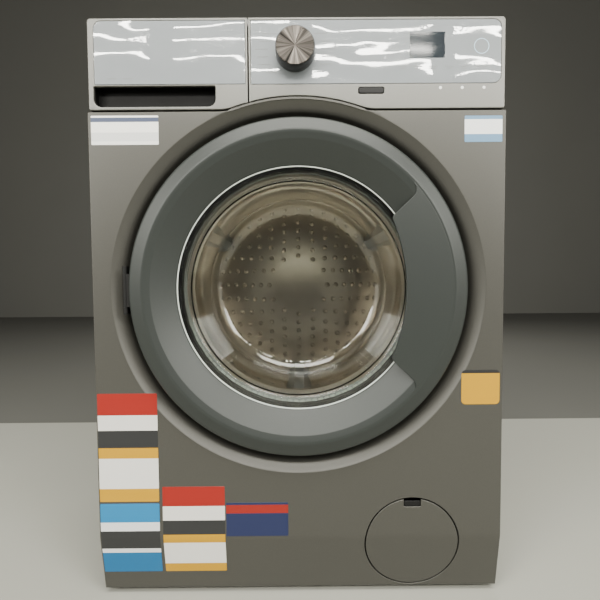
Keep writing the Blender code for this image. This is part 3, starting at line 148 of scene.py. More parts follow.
def softened(points, cuts, steps=8):
    """A closed outline with the listed corners rounded: cuts gives each corner's index and its cut-back."""
    kept = []
    for index, point in enumerate(points):
        here = Vector(point)
        if index in cuts:
            back = index - 1
            while (Vector(points[back]) - here).length < cuts[index]:
                back -= 1
            ahead = index + 1
            while (Vector(points[ahead % len(points)]) - here).length < cuts[index]:
                ahead += 1
            start = here + (Vector(points[back]) - here).normalized() * cuts[index]
            end = here + (Vector(points[ahead % len(points)]) - here).normalized() * cuts[index]
            kept += [tuple(place) for place in bezier(start, here, end, steps)]
            continue
        if all((Vector(points[corner]) - here).length >= cut for corner, cut in cuts.items()):
            kept.append(point)
    return kept


def eased(path, cut, closed=False, steps=4):
    """A run of points with every corner turned into a short curve."""
    points = [Vector(point) for point in path]
    count = len(points)
    result = []
    for index, here in enumerate(points):
        if not closed and index in (0, count - 1):
            result.append(here)
            continue
        before, after = points[index - 1], points[(index + 1) % count]
        room = min(cut, (before - here).length * 0.45, (after - here).length * 0.45)
        start = here + (before - here).normalized() * room
        end = here + (after - here).normalized() * room
        result += bezier(start, here, end, steps)
    return [tuple(point) for point in result]


def moved_in(points, distance):
    """A closed outline moved inwards by a distance, or outwards by a negative one."""
    area = sum(a[0] * b[1] - b[0] * a[1] for a, b in zip(points, points[1:] + points[:1]))
    side = math.copysign(1, area)
    result = []
    for index, point in enumerate(points):
        before, here = Vector(points[index - 1]), Vector(point)
        after = Vector(points[(index + 1) % len(points)])
        first, second = (here - before).normalized(), (after - here).normalized()
        across_first, across_second = Vector((-first.y, first.x)), Vector((-second.y, second.x))
        mitre = (across_first + across_second) / max(0.3, 1 + across_first.dot(across_second))
        result.append(tuple(here + mitre * distance * side))
    return result


def strip(path, thickness):
    """The closed outline of a wall that follows a path."""
    sides = [[], []]
    for index, point in enumerate(path):
        before = Vector(path[max(index - 1, 0)])
        after = Vector(path[min(index + 1, len(path) - 1)])
        along = (after - before).normalized()
        across = Vector((-along.y, along.x)) * thickness / 2
        sides[0].append(tuple(Vector(point) + across))
        sides[1].append(tuple(Vector(point) - across))
    return sides[0] + sides[1][::-1]


def rim(radius, steps=4):
    """Steps over a rounded edge, from the side to the face: how far in, and how far behind the face."""
    angles = [math.pi / 2 * step / steps for step in range(steps + 1)]
    return [(radius * (1 - math.cos(angle)), radius * (1 - math.sin(angle))) for angle in angles]


# ------------ meshes


def ring(shape, outline, y):
    return [shape.verts.new((x, y, z)) for x, z in outline]


def bridge(shape, first, second):
    count = len(first)
    for index in range(count):
        following = (index + 1) % count
        shape.faces.new((first[index], first[following], second[following], second[index]))


def bridged(shape, rings):
    """Walls between each ring and the next."""
    for first, second in zip(rings, rings[1:]):
        bridge(shape, first, second)


def fill(shape, loops):
    """Flat faces inside the first loop and outside the others."""
    edges = []
    for loop in loops:
        for first, second in zip(loop, loop[1:] + loop[:1]):
            edges.append(shape.edges.get((first, second)) or shape.edges.new((first, second)))
    bmesh.ops.triangle_fill(shape, edges=edges, use_beauty=True, normal=(0, -1, 0))


def solid_plate(shape, outline, face, back, radius, pockets=(), holes=(), steps=4):
    """A flat piece seen from the front, with rounded front edges, blind pockets and through holes."""
    rings = [ring(shape, outline, back)]
    for inward, behind in rim(radius, steps):
        rings.append(ring(shape, moved_in(outline, inward), face + behind))
    bridged(shape, rings)
    front, rear = [rings[-1]], [rings[0]]
    for edge, lip, floor in [*pockets, *[(edge, lip, None) for edge, lip in holes]]:
        rings = []
        for inward, behind in reversed(rim(lip, steps)):
            rings.append(ring(shape, moved_in(edge, -inward), face + behind))
        if floor is None:
            rings.append(ring(shape, edge, back))
            rear.append(rings[-1])
        else:
            rings.append(ring(shape, edge, face + floor - 0.0002))
            rings.append(ring(shape, moved_in(edge, 0.0002), face + floor))
            fill(shape, [rings[-1]])
        bridged(shape, rings)
        front.append(rings[0])
    fill(shape, front)
    fill(shape, rear)


def lathe(shape, outline, centre, count=144):
    """A closed outline of (radius, y) points, or one that ends on the axis, turned about an axis along Y."""
    open_ends = outline[0][0] < 1e-6 and outline[-1][0] < 1e-6
    rings = []
    for radius, y in outline:
        if radius < 1e-6:
            rings.append([shape.verts.new((centre[0], y, centre[1]))] * count)
            continue
        rings.append(ring(shape, circle(centre, radius, count), y))
    pairs = list(zip(rings, rings[1:]))
    if not open_ends:
        pairs.append((rings[-1], rings[0]))
    for first, second in pairs:
        for index in range(count):
            following = (index + 1) % count
            corners = [first[index], first[following], second[following], second[index]]
            kept = [corner for place, corner in enumerate(corners) if corner not in corners[:place]]
            if len(kept) > 2:
                shape.faces.new(kept)


def box(shape, low, high):
    made = bmesh.ops.create_cube(shape, size=1.0)
    middle = (Vector(low) + Vector(high)) / 2
    size = Vector(high) - Vector(low)
    for vertex in made["verts"]:
        vertex.co = Vector([middle[axis] + vertex.co[axis] * size[axis] for axis in range(3)])
    return made["verts"]


def lean_foot(shape):
    """Bends everything below the crease back, over a soft radius."""
    for height in (CREASE - 0.006, CREASE - 0.003, CREASE, CREASE + 0.003, CREASE + 0.006):
        geometry = [*shape.verts, *shape.edges, *shape.faces]
        bmesh.ops.bisect_plane(shape, geom=geometry, plane_co=(0, 0, height), plane_no=(0, 0, 1))
    for vertex in shape.verts:
        below = CREASE + 0.006 - vertex.co.z
        if below > 0.012:
            vertex.co.y += (below - 0.006) * LEAN
        elif below > 0:
            vertex.co.y += below**2 / 0.024 * LEAN


def place(name, shape, surface, body, slot=None, replaces=(), sharp=35, origin=None, even=False):
    """Turns a shape into a piece that rides on a body. A body given as (first, second, start, end) is not
    used past its form: the piece stays where it is, on no body.
    """
    bmesh.ops.remove_doubles(shape, verts=shape.verts, dist=1e-6)
    bmesh.ops.recalc_face_normals(shape, faces=shape.faces)
    if origin:
        bmesh.ops.translate(shape, verts=shape.verts, vec=-Vector(origin))
    mesh = bpy.data.meshes.new(name)
    shape.to_mesh(mesh)
    shape.free()
    mesh.materials.append(surface)
    mesh.shade_smooth()
    mesh.set_sharp_from_angle(angle=math.radians(sharp))
    piece = bpy.data.objects.new(name, mesh)
    if origin:
        piece.location = origin
    bpy.context.scene.collection.objects.link(piece)
    if even:
        level = piece.modifiers.new("even_flats", "WEIGHTED_NORMAL")
        level.keep_sharp = True
    if isinstance(body, tuple):
        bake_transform(piece)
    else:
        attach(piece, body)
    if replaces:
        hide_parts(*replaces)
    return piece


# ------------ finishes


def linear(code):
    """An sRGB hex colour as linear numbers."""
    values = []
    for start in (1, 3, 5):
        share = int(code[start:start + 2], 16) / 255
        values.append(share / 12.92 if share <= 0.04045 else ((share + 0.055) / 1.055) ** 2.4)
    return (*values, 1.0)


def add(tree, kind, links=None, **settings):
    """Adds one node. Links gives each input either a value or the node and output that feed it."""
    node = tree.nodes.new("ShaderNode" + kind)
    for name, value in settings.items():
        setattr(node, name, value)
    for socket, value in (links or {}).items():
        if isinstance(value, tuple) and isinstance(value[0], bpy.types.Node):
            tree.links.new(value[0].outputs[value[1]], node.inputs[socket])
        else:
            node.inputs[socket].default_value = value
    return node


def finish(name, colours, patch, roughness, grain, bump, metallic=0.0, stretch=(1, 1, 1), **sockets):
    """A finish of two close colours in patches, with a fine grain that is felt as a bump.

    Patch and grain are sizes in metres, bump is the grain's height, and stretch makes them longer one way.
    """
    made = bpy.data.materials.new(name)
    made.use_nodes = True
    tree = made.node_tree
    tree.nodes.clear()
    place_of = add(tree, "TexCoord")
    scaled = add(tree, "Mapping", {"Vector": (place_of, "Object"), "Scale": stretch})
    patches = add(tree, "TexNoise", {"Vector": (scaled, 0), "Scale": 1 / patch, "Detail": 3.0})
    low, high = linear(colours[0]), linear(colours[1])
    tint = add(tree, "Mix", {0: (patches, 0), 6: low, 7: high}, data_type="RGBA")
    fine = add(tree, "TexNoise", {"Vector": (scaled, 0), "Scale": 1 / grain, "Detail": 2.0})
    worn = add(tree, "MapRange", {"Value": (patches, 0), "To Min": roughness[0], "To Max": roughness[1]})
    raised = add(tree, "Bump", {"Height": (fine, 0), "Distance": bump, "Strength": 1.0})
    links = {"Base Color": (tint, 2), "Roughness": (worn, 0), "Normal": (raised, 0), "Metallic": metallic}
    shader = add(tree, "BsdfPrincipled", {**links, **sockets})
    add(tree, "OutputMaterial", {"Surface": (shader, 0)})
    return made


def film_over_inlay():
    """Clear film over a printed silver blue sheet: its ripples and creases break the lights into streaks."""
    made = bpy.data.materials.new("film_on_gloss_inlay")
    made.use_nodes = True
    tree = made.node_tree
    tree.nodes.clear()
    place_of = add(tree, "TexCoord")
    patches = add(tree, "TexNoise", {"Vector": (place_of, "Object"), "Scale": 18.0})
    tint = add(tree, "Mix", {0: (patches, 0), 6: linear("#74797D"), 7: linear("#7E8386")}, data_type="RGBA")
    # Long ripples lie along the sheet, and creases cross it every few centimetres, in some places only.
    scaled = add(tree, "Mapping", {"Vector": (place_of, "Object"), "Scale": (0.45, 1, 1)})
    ripples = add(tree, "TexNoise", {"Vector": (scaled, 0), "Scale": 15.0, "Detail": 1.5})
    slow = add(tree, "Bump", {"Height": (ripples, 0), "Distance": 0.0013, "Strength": 1.0})
    bent = add(tree, "TexNoise", {"Vector": (place_of, "Object"), "Scale": 40.0, "Distortion": 2.0})
    shifted = add(tree, "Mix", {0: 0.05, 4: (place_of, "Object"), 5: (bent, 1)}, data_type="VECTOR")
    cells = add(tree, "TexVoronoi", {"Vector": (shifted, 1), "Scale": 42.0}, feature="DISTANCE_TO_EDGE")
    crest = add(tree, "MapRange", {"Value": (cells, 0), "From Min": 0.0, "From Max": 0.035, "To Min": 1.0,
                                   "To Max": 0.0})
    where = add(tree, "MapRange", {"Value": (ripples, 0), "From Min": 0.52, "From Max": 0.60})
    crease = add(tree, "Math", {0: (crest, 0), 1: (where, 0)}, operation="MULTIPLY")
    raised = add(tree, "Bump", {"Height": (crease, 0), "Normal": (slow, 0), "Distance": 0.0005,
                                "Strength": 1.0})
    shader = add(tree, "BsdfPrincipled", {
        "Base Color": (tint, 2), "Roughness": 0.45, "Metallic": 0.15, "Normal": (slow, 0),
        "Coat Weight": 1.0, "Coat Roughness": 0.02, "Coat Normal": (raised, 0)})
    add(tree, "OutputMaterial", {"Surface": (shader, 0)})
    return made


def sunray_metal():
    """Aluminium brushed out from the centre: each light draws a pair of rays across the face."""
    made = bpy.data.materials.new("sunray_brushed_aluminium")
    made.use_nodes = True
    tree = made.node_tree
    tree.nodes.clear()
    place_of = add(tree, "TexCoord")
    parts = add(tree, "SeparateXYZ", {"Vector": (place_of, "Object")})
    angle = add(tree, "Math", {0: (parts, "Z"), 1: (parts, "X")}, operation="ARCTAN2")
    around = add(tree, "CombineXYZ", {"X": (angle, 0)})
    # The brush marks are a tenth of a millimetre wide on the real face, and drawn as wide rays here to show.
    lines = add(tree, "TexNoise", {"Vector": (around, 0), "Scale": 2.6, "Detail": 5.0, "Roughness": 0.62})
    rays = add(tree, "MapRange", {"Value": (lines, 0), "From Min": 0.40, "From Max": 0.62})
    tint = add(tree, "Mix", {0: (rays, 0), 6: linear("#171615"), 7: linear("#5E5954")}, data_type="RGBA")
    raised = add(tree, "Bump", {"Height": (lines, 0), "Distance": 0.0002, "Strength": 0.5})
    along = add(tree, "Tangent", direction_type="RADIAL", axis="Y")
    shader = add(tree, "BsdfPrincipled", {
        "Base Color": (tint, 2), "Roughness": 0.30, "Metallic": 1.0, "Anisotropic": 0.85,
        "Normal": (raised, 0), "Tangent": (along, 0)})
    add(tree, "OutputMaterial", {"Surface": (shader, 0)})
    return made


FILM = film_over_inlay()
KNOB_FACE = sunray_metal()
# Powder coat with metal flake, baked on steel: a satin sheen with a fine sparkle of specks.
POWDER_COAT = finish("powder_coated_steel_satin", ("#464541", "#52514C"), 0.0011, (0.38, 0.46), 0.0016,
                     0.00002, 0.50, **{"Coat Weight": 0.15, "Coat Roughness": 0.25})
# Painted ABS, as smooth as paint. Its colour is set lighter and warmer than the steel's: partly the
# moulding's own tone, partly painted light for the brighter light that falls on the top of the machine.
FASCIA_PAINT_TOP_LIT = finish("painted_abs_metallic", ("#6A6965", "#747470"), 0.0013, (0.36, 0.42), 0.0016,
                      0.00001, 0.60)
KNOB_SIDE = finish("black_abs_gloss_side", ("#1B1B1C", "#222223"), 0.01, (0.28, 0.34), 0.0008, 0.00001)
# Slate grey ABS with a satin skin: the door's ring and grip plate.
SLATE = finish("satin_slate_abs", ("#262A28", "#2E3230"), 0.0016, (0.38, 0.44), 0.0011, 0.00002, 0.15)
BLACK_ABS = finish("moulded_black_abs", ("#0B0B0C", "#101011"), 0.01, (0.42, 0.52), 0.0009, 0.00003,
                   **{"Specular IOR Level": 0.3})
GREY_PP = finish("glass_filled_polypropylene", ("#8B8D8E", "#949697"), 0.012, (0.48, 0.58), 0.0012, 0.00005)
WHITE_PP = finish("moulded_white_polypropylene", ("#D9DAD9", "#E2E3E2"), 0.012, (0.34, 0.44), 0.0012,
                  0.00003)
BLUE_PP = finish("moulded_blue_polypropylene", ("#2F5C9E", "#3665A8"), 0.012, (0.34, 0.44), 0.0012, 0.00003)
# Hot dip zinc: soft edged crystals a centimetre across, drawn a little coarser than real ones.
ZINC = finish("hot_dip_zinc_on_steel", ("#8F9294", "#B2B5B6"), 0.012, (0.34, 0.52), 0.004, 0.00002, 1.0)
# Bright rolled stainless: rolling lines run round the drum.
STAINLESS = finish("bright_rolled_stainless", ("#D6CBBC", "#E2D8CB"), 0.02, (0.26, 0.36), 0.0012,
                   0.00001, 1.0, (1, 0.1, 1))
CAST_ALUMINIUM = finish("die_cast_aluminium", ("#9C9D9E", "#AAABAB"), 0.01, (0.42, 0.55), 0.0011,
                        0.00008, 1.0)
# Black coated steel, darkened below the coating's own black: painted shade, so the hinge parts sink into the
# dark gap round the door.
BLACK_STEEL_SHADE_DARKENED = finish("black_coated_steel_painted_shade", ("#0D0D0D", "#131313"), 0.01, (0.46, 0.56), 0.001, 0.00003,
                     **{"Specular IOR Level": 0.3})
BLACK_RUBBER = finish("moulded_black_rubber", ("#1A1A1A", "#212120"), 0.01, (0.62, 0.74), 0.0011, 0.00004)
# Grey EPDM: dull and soft, with the talc bloom of new rubber in the folds.
GREY_RUBBER = finish("moulded_grey_epdm", ("#8E918E", "#A0A39F"), 0.03, (0.55, 0.68), 0.0014, 0.00004)
# Pale, slightly green silicone colour, lighter than the grey gasket rubber: painted highlight, for the
# bright rim of the glass and the bright band on the gasket's lower lip.
PALE_HIGHLIGHT_PAINT = finish("pale_silicone_painted_highlight", ("#B9C0BA", "#C6CCC6"), 0.02, (0.40, 0.50), 0.0012, 0.00003)
CONCRETE = finish("cast_concrete", ("#827E77", "#98948C"), 0.012, (0.82, 0.92), 0.002, 0.0003)
LIFTER_PP = finish("moulded_light_grey_polypropylene", ("#B9BBBB", "#C4C6C6"), 0.012, (0.36, 0.46),
                   0.0012, 0.00003)
LAMINATE = finish("grey_melamine_laminate", ("#8F8B84", "#9B978F"), 0.004, (0.32, 0.42), 0.0015, 0.00003)
MOTOR_SHELL = finish("pressed_motor_shell", ("#7D7E80", "#8A8B8C"), 0.01, (0.40, 0.50), 0.0011, 0.00004, 1.0)
# Pressed soda lime glass: clear, with the faint green that shows along its edge.
GLASS = finish("pressed_soda_lime_glass", ("#F4F8F5", "#F8FBF8"), 0.05, (0.0, 0.02), 0.03, 0.00005,
               **{"Transmission Weight": 1.0, "IOR": 1.52})
# Near black, darker than real plastic: painted shade, for the dark inside of the drawer's handle recess and
# the dark gap round the door.
SHADE_BLACK = finish("shadow_black_abs", ("#020202", "#040404"), 0.01, (0.5, 0.6), 0.001, 0.00002,
                    **{"Specular IOR Level": 0.2})
# Smoked PMMA over an unlit display: it shows dark slate, and mirrors the room.
DISPLAY = finish("smoked_pmma_display", ("#1A2126", "#232B31"), 0.03, (0.06, 0.09), 0.02, 0.00003,
                 **{"Specular IOR Level": 0.35})
PRINT_GREY = finish("screen_print_dark", ("#6A6D6F", "#737678"), 0.004, (0.30, 0.36), 0.001, 0.00001)
PRINT_WHITE = finish("screen_print_white", ("#EDEDEA", "#F4F4F1"), 0.004, (0.30, 0.36), 0.001, 0.00001)
PRINT_BLUE = finish("screen_print_light_blue", ("#A9C4D6", "#B4CCDC"), 0.004, (0.30, 0.36), 0.001, 0.00001)

BY_SLOT = {
    "cabinet_paint": POWDER_COAT, "fascia_plastic": FASCIA_PAINT_TOP_LIT, "inlay_gloss": FILM,
    "knob_metal": KNOB_FACE, "ring_plastic": SLATE, "black_plastic": BLACK_ABS,
    "grey_plastic": GREY_PP, "white_plastic": WHITE_PP, "blue_plastic": BLUE_PP,
    "galvanised_steel": ZINC, "stainless_steel": STAINLESS, "cast_aluminium": CAST_ALUMINIUM,
    "black_steel": BLACK_STEEL_SHADE_DARKENED, "black_rubber": BLACK_RUBBER, "grey_rubber": GREY_RUBBER,
    "door_glass": GLASS, "concrete": CONCRETE, "lifter_plastic": LIFTER_PP,
    "worktop_laminate": LAMINATE, "motor_shell": MOTOR_SHELL,
}
for part in frame["record"]["subparts"]:
    node = frame["nodes"][part["node"]]
    for material_slot in node.material_slots:
        material_slot.material = BY_SLOT[part["material_slot"]]

# ------------ front panel and filter cover


def front_panel():
    """The pressed sheet: a flat with rolled edges, the dish round the door, and the filter hole."""
    shape = bmesh.new()
    top = FASCIA_BOTTOM - SEAM
    low = PANEL_LOW.z
    outline = [(-HALF, low), (HALF, low), (HALF, top), *reversed(arch(SEAM)), (-HALF, top)]
    rings = [ring(shape, outline, depth(0.0014))]
    for inward, behind in rim(0.0012):
        rings.append(ring(shape, moved_in(outline, inward), depth(behind)))
    bridged(shape, rings)
    count = 160
    slope = [(DISH_RADIUS + 0.0010, 0.0), (DISH_RADIUS + 0.0002, 0.0002), (DISH_RADIUS - 0.0010, 0.0009),
             (DISH_RADIUS - 0.0030, 0.0022), (DISH_RADIUS - 0.0070, 0.0045), (DISH_RADIUS - 0.0115, 0.0070),
             (DISH_RADIUS - 0.0150, 0.0093), (DISH_FLOOR + 0.0022, 0.0120), (DISH_FLOOR + 0.0006, 0.0160),
             (DISH_FLOOR, 0.0210), (DISH_FLOOR - 0.0008, 0.0240), (DISH_FLOOR - 0.0025, 0.0256),
             (DISH_FLOOR - 0.005, DISH_DEPTH)]
    dish = [ring(shape, circle(AXIS, radius, count), depth(y)) for radius, y in slope]
    bridged(shape, dish)
    neck = [(MOUTH_RADIUS + 0.003, DISH_DEPTH), (MOUTH_RADIUS + 0.0015, 0.0263),
            (MOUTH_RADIUS + 0.0004, 0.0272), (MOUTH_RADIUS, 0.0290), (MOUTH_RADIUS, 0.0355)]
    mouth = [ring(shape, circle(AXIS, radius, count), depth(y)) for radius, y in neck]
    bridged(shape, mouth)
    slot = rounded((HOOK_X - 0.009, AXIS[1] - 0.013), (HOOK_X + 0.010, AXIS[1] + 0.013), (0.003,) * 4)
    turn = rim(0.001)[::-1]
    lip = [ring(shape, moved_in(slot, -inward), depth(DISH_DEPTH + behind)) for inward, behind in turn]
    bridged(shape, lip)
    fill(shape, [dish[-1], mouth[0], lip[0]])
    hole = circle(COVER, COVER_RADIUS + 0.0012, 96)
    turned = [ring(shape, moved_in(hole, -inward), depth(behind)) for inward, behind in turn]
    turned.append(ring(shape, hole, depth(0.004)))
    bridged(shape, turned)
    fill(shape, [rings[-1], dish[0], turned[0]])
    lean_foot(shape)
    piece = place("panel_sheet", shape, POWDER_COAT, "root", "cabinet_paint", ("front_panel",), 50)
    if not faces_forward(piece):
        piece.data.flip_normals()
    wall = piece.modifiers.new("sheet", "SOLIDIFY")
    wall.thickness = SHEET
    wall.offset = -1
    level = piece.modifiers.new("even_flats", "WEIGHTED_NORMAL")
    level.keep_sharp = True


def faces_forward(piece):
    """True when the widest face of a sheet looks out of the front."""
    widest = max(piece.data.polygons, key=lambda face: face.area)
    return widest.normal.y < 0


def filter_cover():
    """The round steel cover, with a notch for a coin and a black finger tab at its top."""
    shape = bmesh.new()
    notch = 0.0125
    rise = math.sqrt((COVER_RADIUS - 0.0004) ** 2 - notch**2)
    start, end = math.atan2(rise, notch), math.atan2(rise, -notch)
    disc = arc(COVER, COVER_RADIUS - 0.0004, end, start + math.tau, 90)
    floor = COVER[1] + COVER_RADIUS - 0.0125
    outline = [*disc, (COVER[0] + notch, floor), (COVER[0] - notch, floor)]
    outline = softened(outline, {len(disc): 0.002, len(disc) + 1: 0.002}, 4)
    solid_plate(shape, outline, depth(0), depth(0.0014), 0.0011)
    lean_foot(shape)
    place("cover_sheet", shape, POWDER_COAT, "filter_cover", "cabinet_paint", ("filter_cover",), 50,
          even=True)
    shape = bmesh.new()
    tab = rounded((COVER[0] - notch + 0.0008, floor + 0.0008), (COVER[0] + notch - 0.0008, floor + 0.0088),
                  (0.0015,) * 4, 4)
    solid_plate(shape, tab, depth(0.0004), depth(0.0016), 0.0006)
    place("cover_finger_tab", shape, BLACK_ABS, "filter_cover", "black_plastic", even=True)


front_panel()
filter_cover()

# ------------ fascia, drawer and controls

TOP = FASCIA_HIGH.z
INLAY_LOW, INLAY_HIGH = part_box("fascia_inlay")
SPLIT = INLAY_LOW.x - 0.002
PLATE_LOW, PLATE_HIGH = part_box("drawer_inlay")
BUTTON_LOW, BUTTON_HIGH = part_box("power_button")
PRINT_FACE, PRINT_BACK = depth(-0.00022), depth(0.0003)
SEAM_TO_INLAY = 0.0034   # keeps the inlay's pocket clear of the moulding's rounded edge
INLAY_CORNER = 0.011


def fascia_stretch(left, right, outer):
    """The front view of the fascia between two x values. Outer is the side that meets the cabinet's edge."""
    lower = [point for point in arch(0.0) if left + 0.005 < point[0] < right - 0.005]
    last = len(lower) + 1
    if outer < 0:
        start, end = (left, FASCIA_BOTTOM), (right, height_at(right))
        foot, head = 0, last + 2
    else:
        start, end = (left, height_at(left)), (right, FASCIA_BOTTOM)
        foot, head = last, last + 1
    outline = [start, *lower, end, (right, TOP), (left, TOP)]
    return softened(outline, {foot: 0.0035, head: 0.005}, 5)


def height_at(x):
    points = arch(0.0)
    for first, second in zip(points, points[1:]):
        if first[0] <= x <= second[0]:
            share = (x - first[0]) / (second[0] - first[0])
            return first[1] + share * (second[1] - first[1])
    return FASCIA_BOTTOM


def fascia():
    shape = bmesh.new()
    outline = fascia_stretch(SPLIT, FASCIA_HIGH.x, 1)
    inlay = rounded((SPLIT + SEAM_TO_INLAY, INLAY_LOW.z), (INLAY_HIGH.x, INLAY_HIGH.z),
                    (0.0008, INLAY_CORNER, INLAY_CORNER, 0.0008))
    slot_low = (BUTTON_LOW.x - 0.0005, BUTTON_LOW.z - 0.0005)
    slot_high = (BUTTON_HIGH.x + 0.0005, BUTTON_HIGH.z + 0.0005)
    slot = rounded(slot_low, slot_high, (0.0026,) * 4)
    pockets = [(moved_in(inlay, -0.0005), 0.0006, 0.0016), (slot, 0.0006, 0.004)]
    solid_plate(shape, outline, depth(0), depth(0.030), 0.0011, pockets)
    place("fascia_moulding", shape, FASCIA_PAINT_TOP_LIT, "root", "fascia_plastic", ("control_panel",), 50,
          even=True)

    shape = bmesh.new()
    solid_plate(shape, inlay, depth(-0.0001), depth(0.0013), 0.0004, steps=2)
    middle = ((inlay[0][0] + inlay[9][0]) / 2, FRONT, INLAY_LOW.z)
    place("fascia_film", shape, FILM, "root", "inlay_gloss", ("fascia_inlay",), 50, middle, even=True)


def drawer_surround_painted_shade():
    """The wall of the fascia behind the drawer's front, with the way through for the tray. It is black, not
    in the fascia's paint: painted shade for the dark seam round the drawer.
    """
    shape = bmesh.new()
    tray_low, tray_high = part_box("drawer_tray")
    outline = fascia_stretch(FASCIA_LOW.x, SPLIT + 0.004, -1)
    gap = 0.003
    way = rounded((tray_low.x - gap, tray_low.z - gap), (tray_high.x + gap, tray_high.z + gap), (gap,) * 4)
    solid_plate(shape, outline, depth(0.0215), depth(0.0300), 0.0008, holes=[(way, 0.0006)])
    place("drawer_surround_painted_shade", shape, BLACK_ABS, "root", "fascia_plastic", even=True)


def power_button():
    shape = bmesh.new()
    low = (BUTTON_LOW.x + 0.0002, BUTTON_LOW.z + 0.0002)
    high = (BUTTON_HIGH.x - 0.0002, BUTTON_HIGH.z - 0.0002)
    solid_plate(shape, rounded(low, high, (0.0022,) * 4), depth(-0.0006), depth(0.0045), 0.0008)
    place("button_bar", shape, BLACK_ABS, "power_button", "black_plastic", ("power_button",), 50, even=True)


def drawer():
    edge = DRAWER_HIGH.x
    shape = bmesh.new()
    outline = fascia_stretch(DRAWER_LOW.x, edge, -1)
    recess = rounded((-0.289, 0.7262), (-0.116, 0.7548), (INLAY_CORNER, INLAY_CORNER, 0.002, 0.002))
    plate = rounded((PLATE_LOW.x, PLATE_LOW.z + 0.0004), (edge - SEAM_TO_INLAY, PLATE_HIGH.z),
                    (0.0008, 0.0008, 0.0008, INLAY_CORNER))
    pockets = [(recess, 0.0011, 0.0168), (moved_in(plate, -0.0005), 0.0005, 0.0016)]
    solid_plate(shape, outline, depth(0), depth(0.0205), 0.0011, pockets)
    place("drawer_moulding", shape, FASCIA_PAINT_TOP_LIT, "drawer", "fascia_plastic", ("drawer_front",), 50,
          even=True)

    # A near black cup inside the handle recess: painted shade for the dark inside of the recess.
    shape = bmesh.new()
    shade_cup = moved_in(recess, 0.0001)
    hollow = (moved_in(shade_cup, 0.0009), 0.0003, 0.0120)
    solid_plate(shape, shade_cup, depth(0.0035), depth(0.0166), 0.0003, [hollow], steps=2)
    place("recess_painted_shade", shape, SHADE_BLACK, "drawer", "black_plastic", even=True)

    shape = bmesh.new()
    solid_plate(shape, plate, depth(-0.0001), depth(0.0013), 0.0004, steps=2)
    middle = ((PLATE_LOW.x + edge) / 2, FRONT, PLATE_LOW.z)
    place("drawer_film", shape, FILM, "drawer", "inlay_gloss", ("drawer_inlay",), 50, middle, even=True)


def programme_knob():
    """A turned face with a thin chamfer, a dark side, and a milled pointer groove out to the rim."""
    proud = KNOB_LOW.y
    shape = bmesh.new()
    count = 96
    outline = circle(KNOB, KNOB_RADIUS - 0.0012, count)
    angle = math.radians(62)
    along = Vector((math.cos(angle), math.sin(angle)))
    across = Vector((-along.y, along.x))
    near, far, half = 0.004, KNOB_RADIUS - 0.0022, 0.0012
    groove = []
    for reach, side in ((near, -1), (far, -1), (far, 1), (near, 1)):
        groove.append(tuple(Vector(KNOB) + along * reach + across * half * side))
    groove = eased(groove, 0.0010, closed=True, steps=3)
    solid_plate(shape, outline, proud, proud + 0.0035, 0.0007, [(groove, 0.0003, 0.0012)], steps=3)
    origin = (KNOB[0], proud, KNOB[1])
    place("knob_face", shape, KNOB_FACE, "knob", "knob_metal", ("programme_knob",), 40, origin, even=True)
    shape = bmesh.new()
    inner = KNOB_RADIUS - 0.0011
    profile = [(0.0, depth(-0.0012)), (KNOB_RADIUS - 0.0004, depth(-0.0012)), (KNOB_RADIUS, depth(-0.0020)),
               (KNOB_RADIUS, proud + 0.0016), (KNOB_RADIUS - 0.0003, proud + 0.0009),
               (inner, proud + 0.0007), (inner, proud + 0.0030), (0.0, proud + 0.0030)]
    lathe(shape, profile, KNOB, 96)
    place("knob_side", shape, KNOB_SIDE, "knob", "black_plastic", sharp=40)


def programme_rows():
    """Plain bars in a list on each side of the knob, in place of lettering."""
    shape = bmesh.new()
    for side in (-1, 1):
        for row in range(6):
            z = KNOB[1] + 0.0265 - row * 0.0106
            reach = math.sqrt(max(0.0, (KNOB_RADIUS + 0.008) ** 2 - (z - KNOB[1]) ** 2))
            near = KNOB[0] + side * (reach + 0.003)
            far = near + side * (0.015 if row % 2 else 0.019)
            box(shape, (min(near, far), PRINT_FACE, z - 0.0006), (max(near, far), PRINT_BACK, z + 0.0006))
    place("programme_rows", shape, PRINT_GREY, "root", "black_plastic")


def touch_keys():
    """Plain bars for the touch keys, the dots below them, and the start key's ring."""
    shape = bmesh.new()
    for x in (0.150, 0.172, 0.194, 0.216, 0.238, 0.262):
        box(shape, (x - 0.0058, PRINT_FACE, 0.7795), (x + 0.0058, PRINT_BACK, 0.7806))
        box(shape, (x - 0.0035, PRINT_FACE, 0.7770), (x + 0.0035, PRINT_BACK, 0.7778))
    for x in (-0.262, -0.240):
        box(shape, (x - 0.007, PRINT_FACE, 0.7650), (x + 0.007, PRINT_BACK, 0.7658))
    place("touch_key_bars", shape, PRINT_GREY, "root", "black_plastic")
    shape = bmesh.new()
    for x in (0.204, 0.235, 0.266):
        solid_plate(shape, circle((x, 0.7505), 0.0022, 20), depth(-0.0001), depth(0.0004), 0.0001, steps=2)
    place("touch_dots", shape, PRINT_WHITE, "root", "white_plastic")
    shape = bmesh.new()
    profile = [(0.0098, PRINT_BACK), (0.0098, PRINT_FACE), (0.0108, PRINT_FACE), (0.0108, PRINT_BACK)]
    lathe(shape, profile, (0.262, 0.808), 64)
    place("start_ring", shape, PRINT_BLUE, "root", "white_plastic")


def display_window():
    shape = bmesh.new()
    window = rounded((0.1600, 0.7920), (0.2104, 0.8280), (0.0012,) * 4, 4)
    solid_plate(shape, window, depth(-0.00035), depth(0.0003), 0.00015, steps=2)
    place("display_window", shape, DISPLAY, "root", "black_plastic", even=True)


fascia()
drawer_surround_painted_shade()
power_button()
drawer()
programme_knob()
programme_rows()
touch_keys()
display_window()

# ------------ door


CREST = 0.2205           # the radius where the ring's flat turns down into its funnel
BRIM = CREST - 0.0017    # the grip plate's outer edge
FLANGE = 0.1865          # the glass, where the ring holds it
GLASS_HALF = 0.002
BOWL_DEPTH = 0.1015


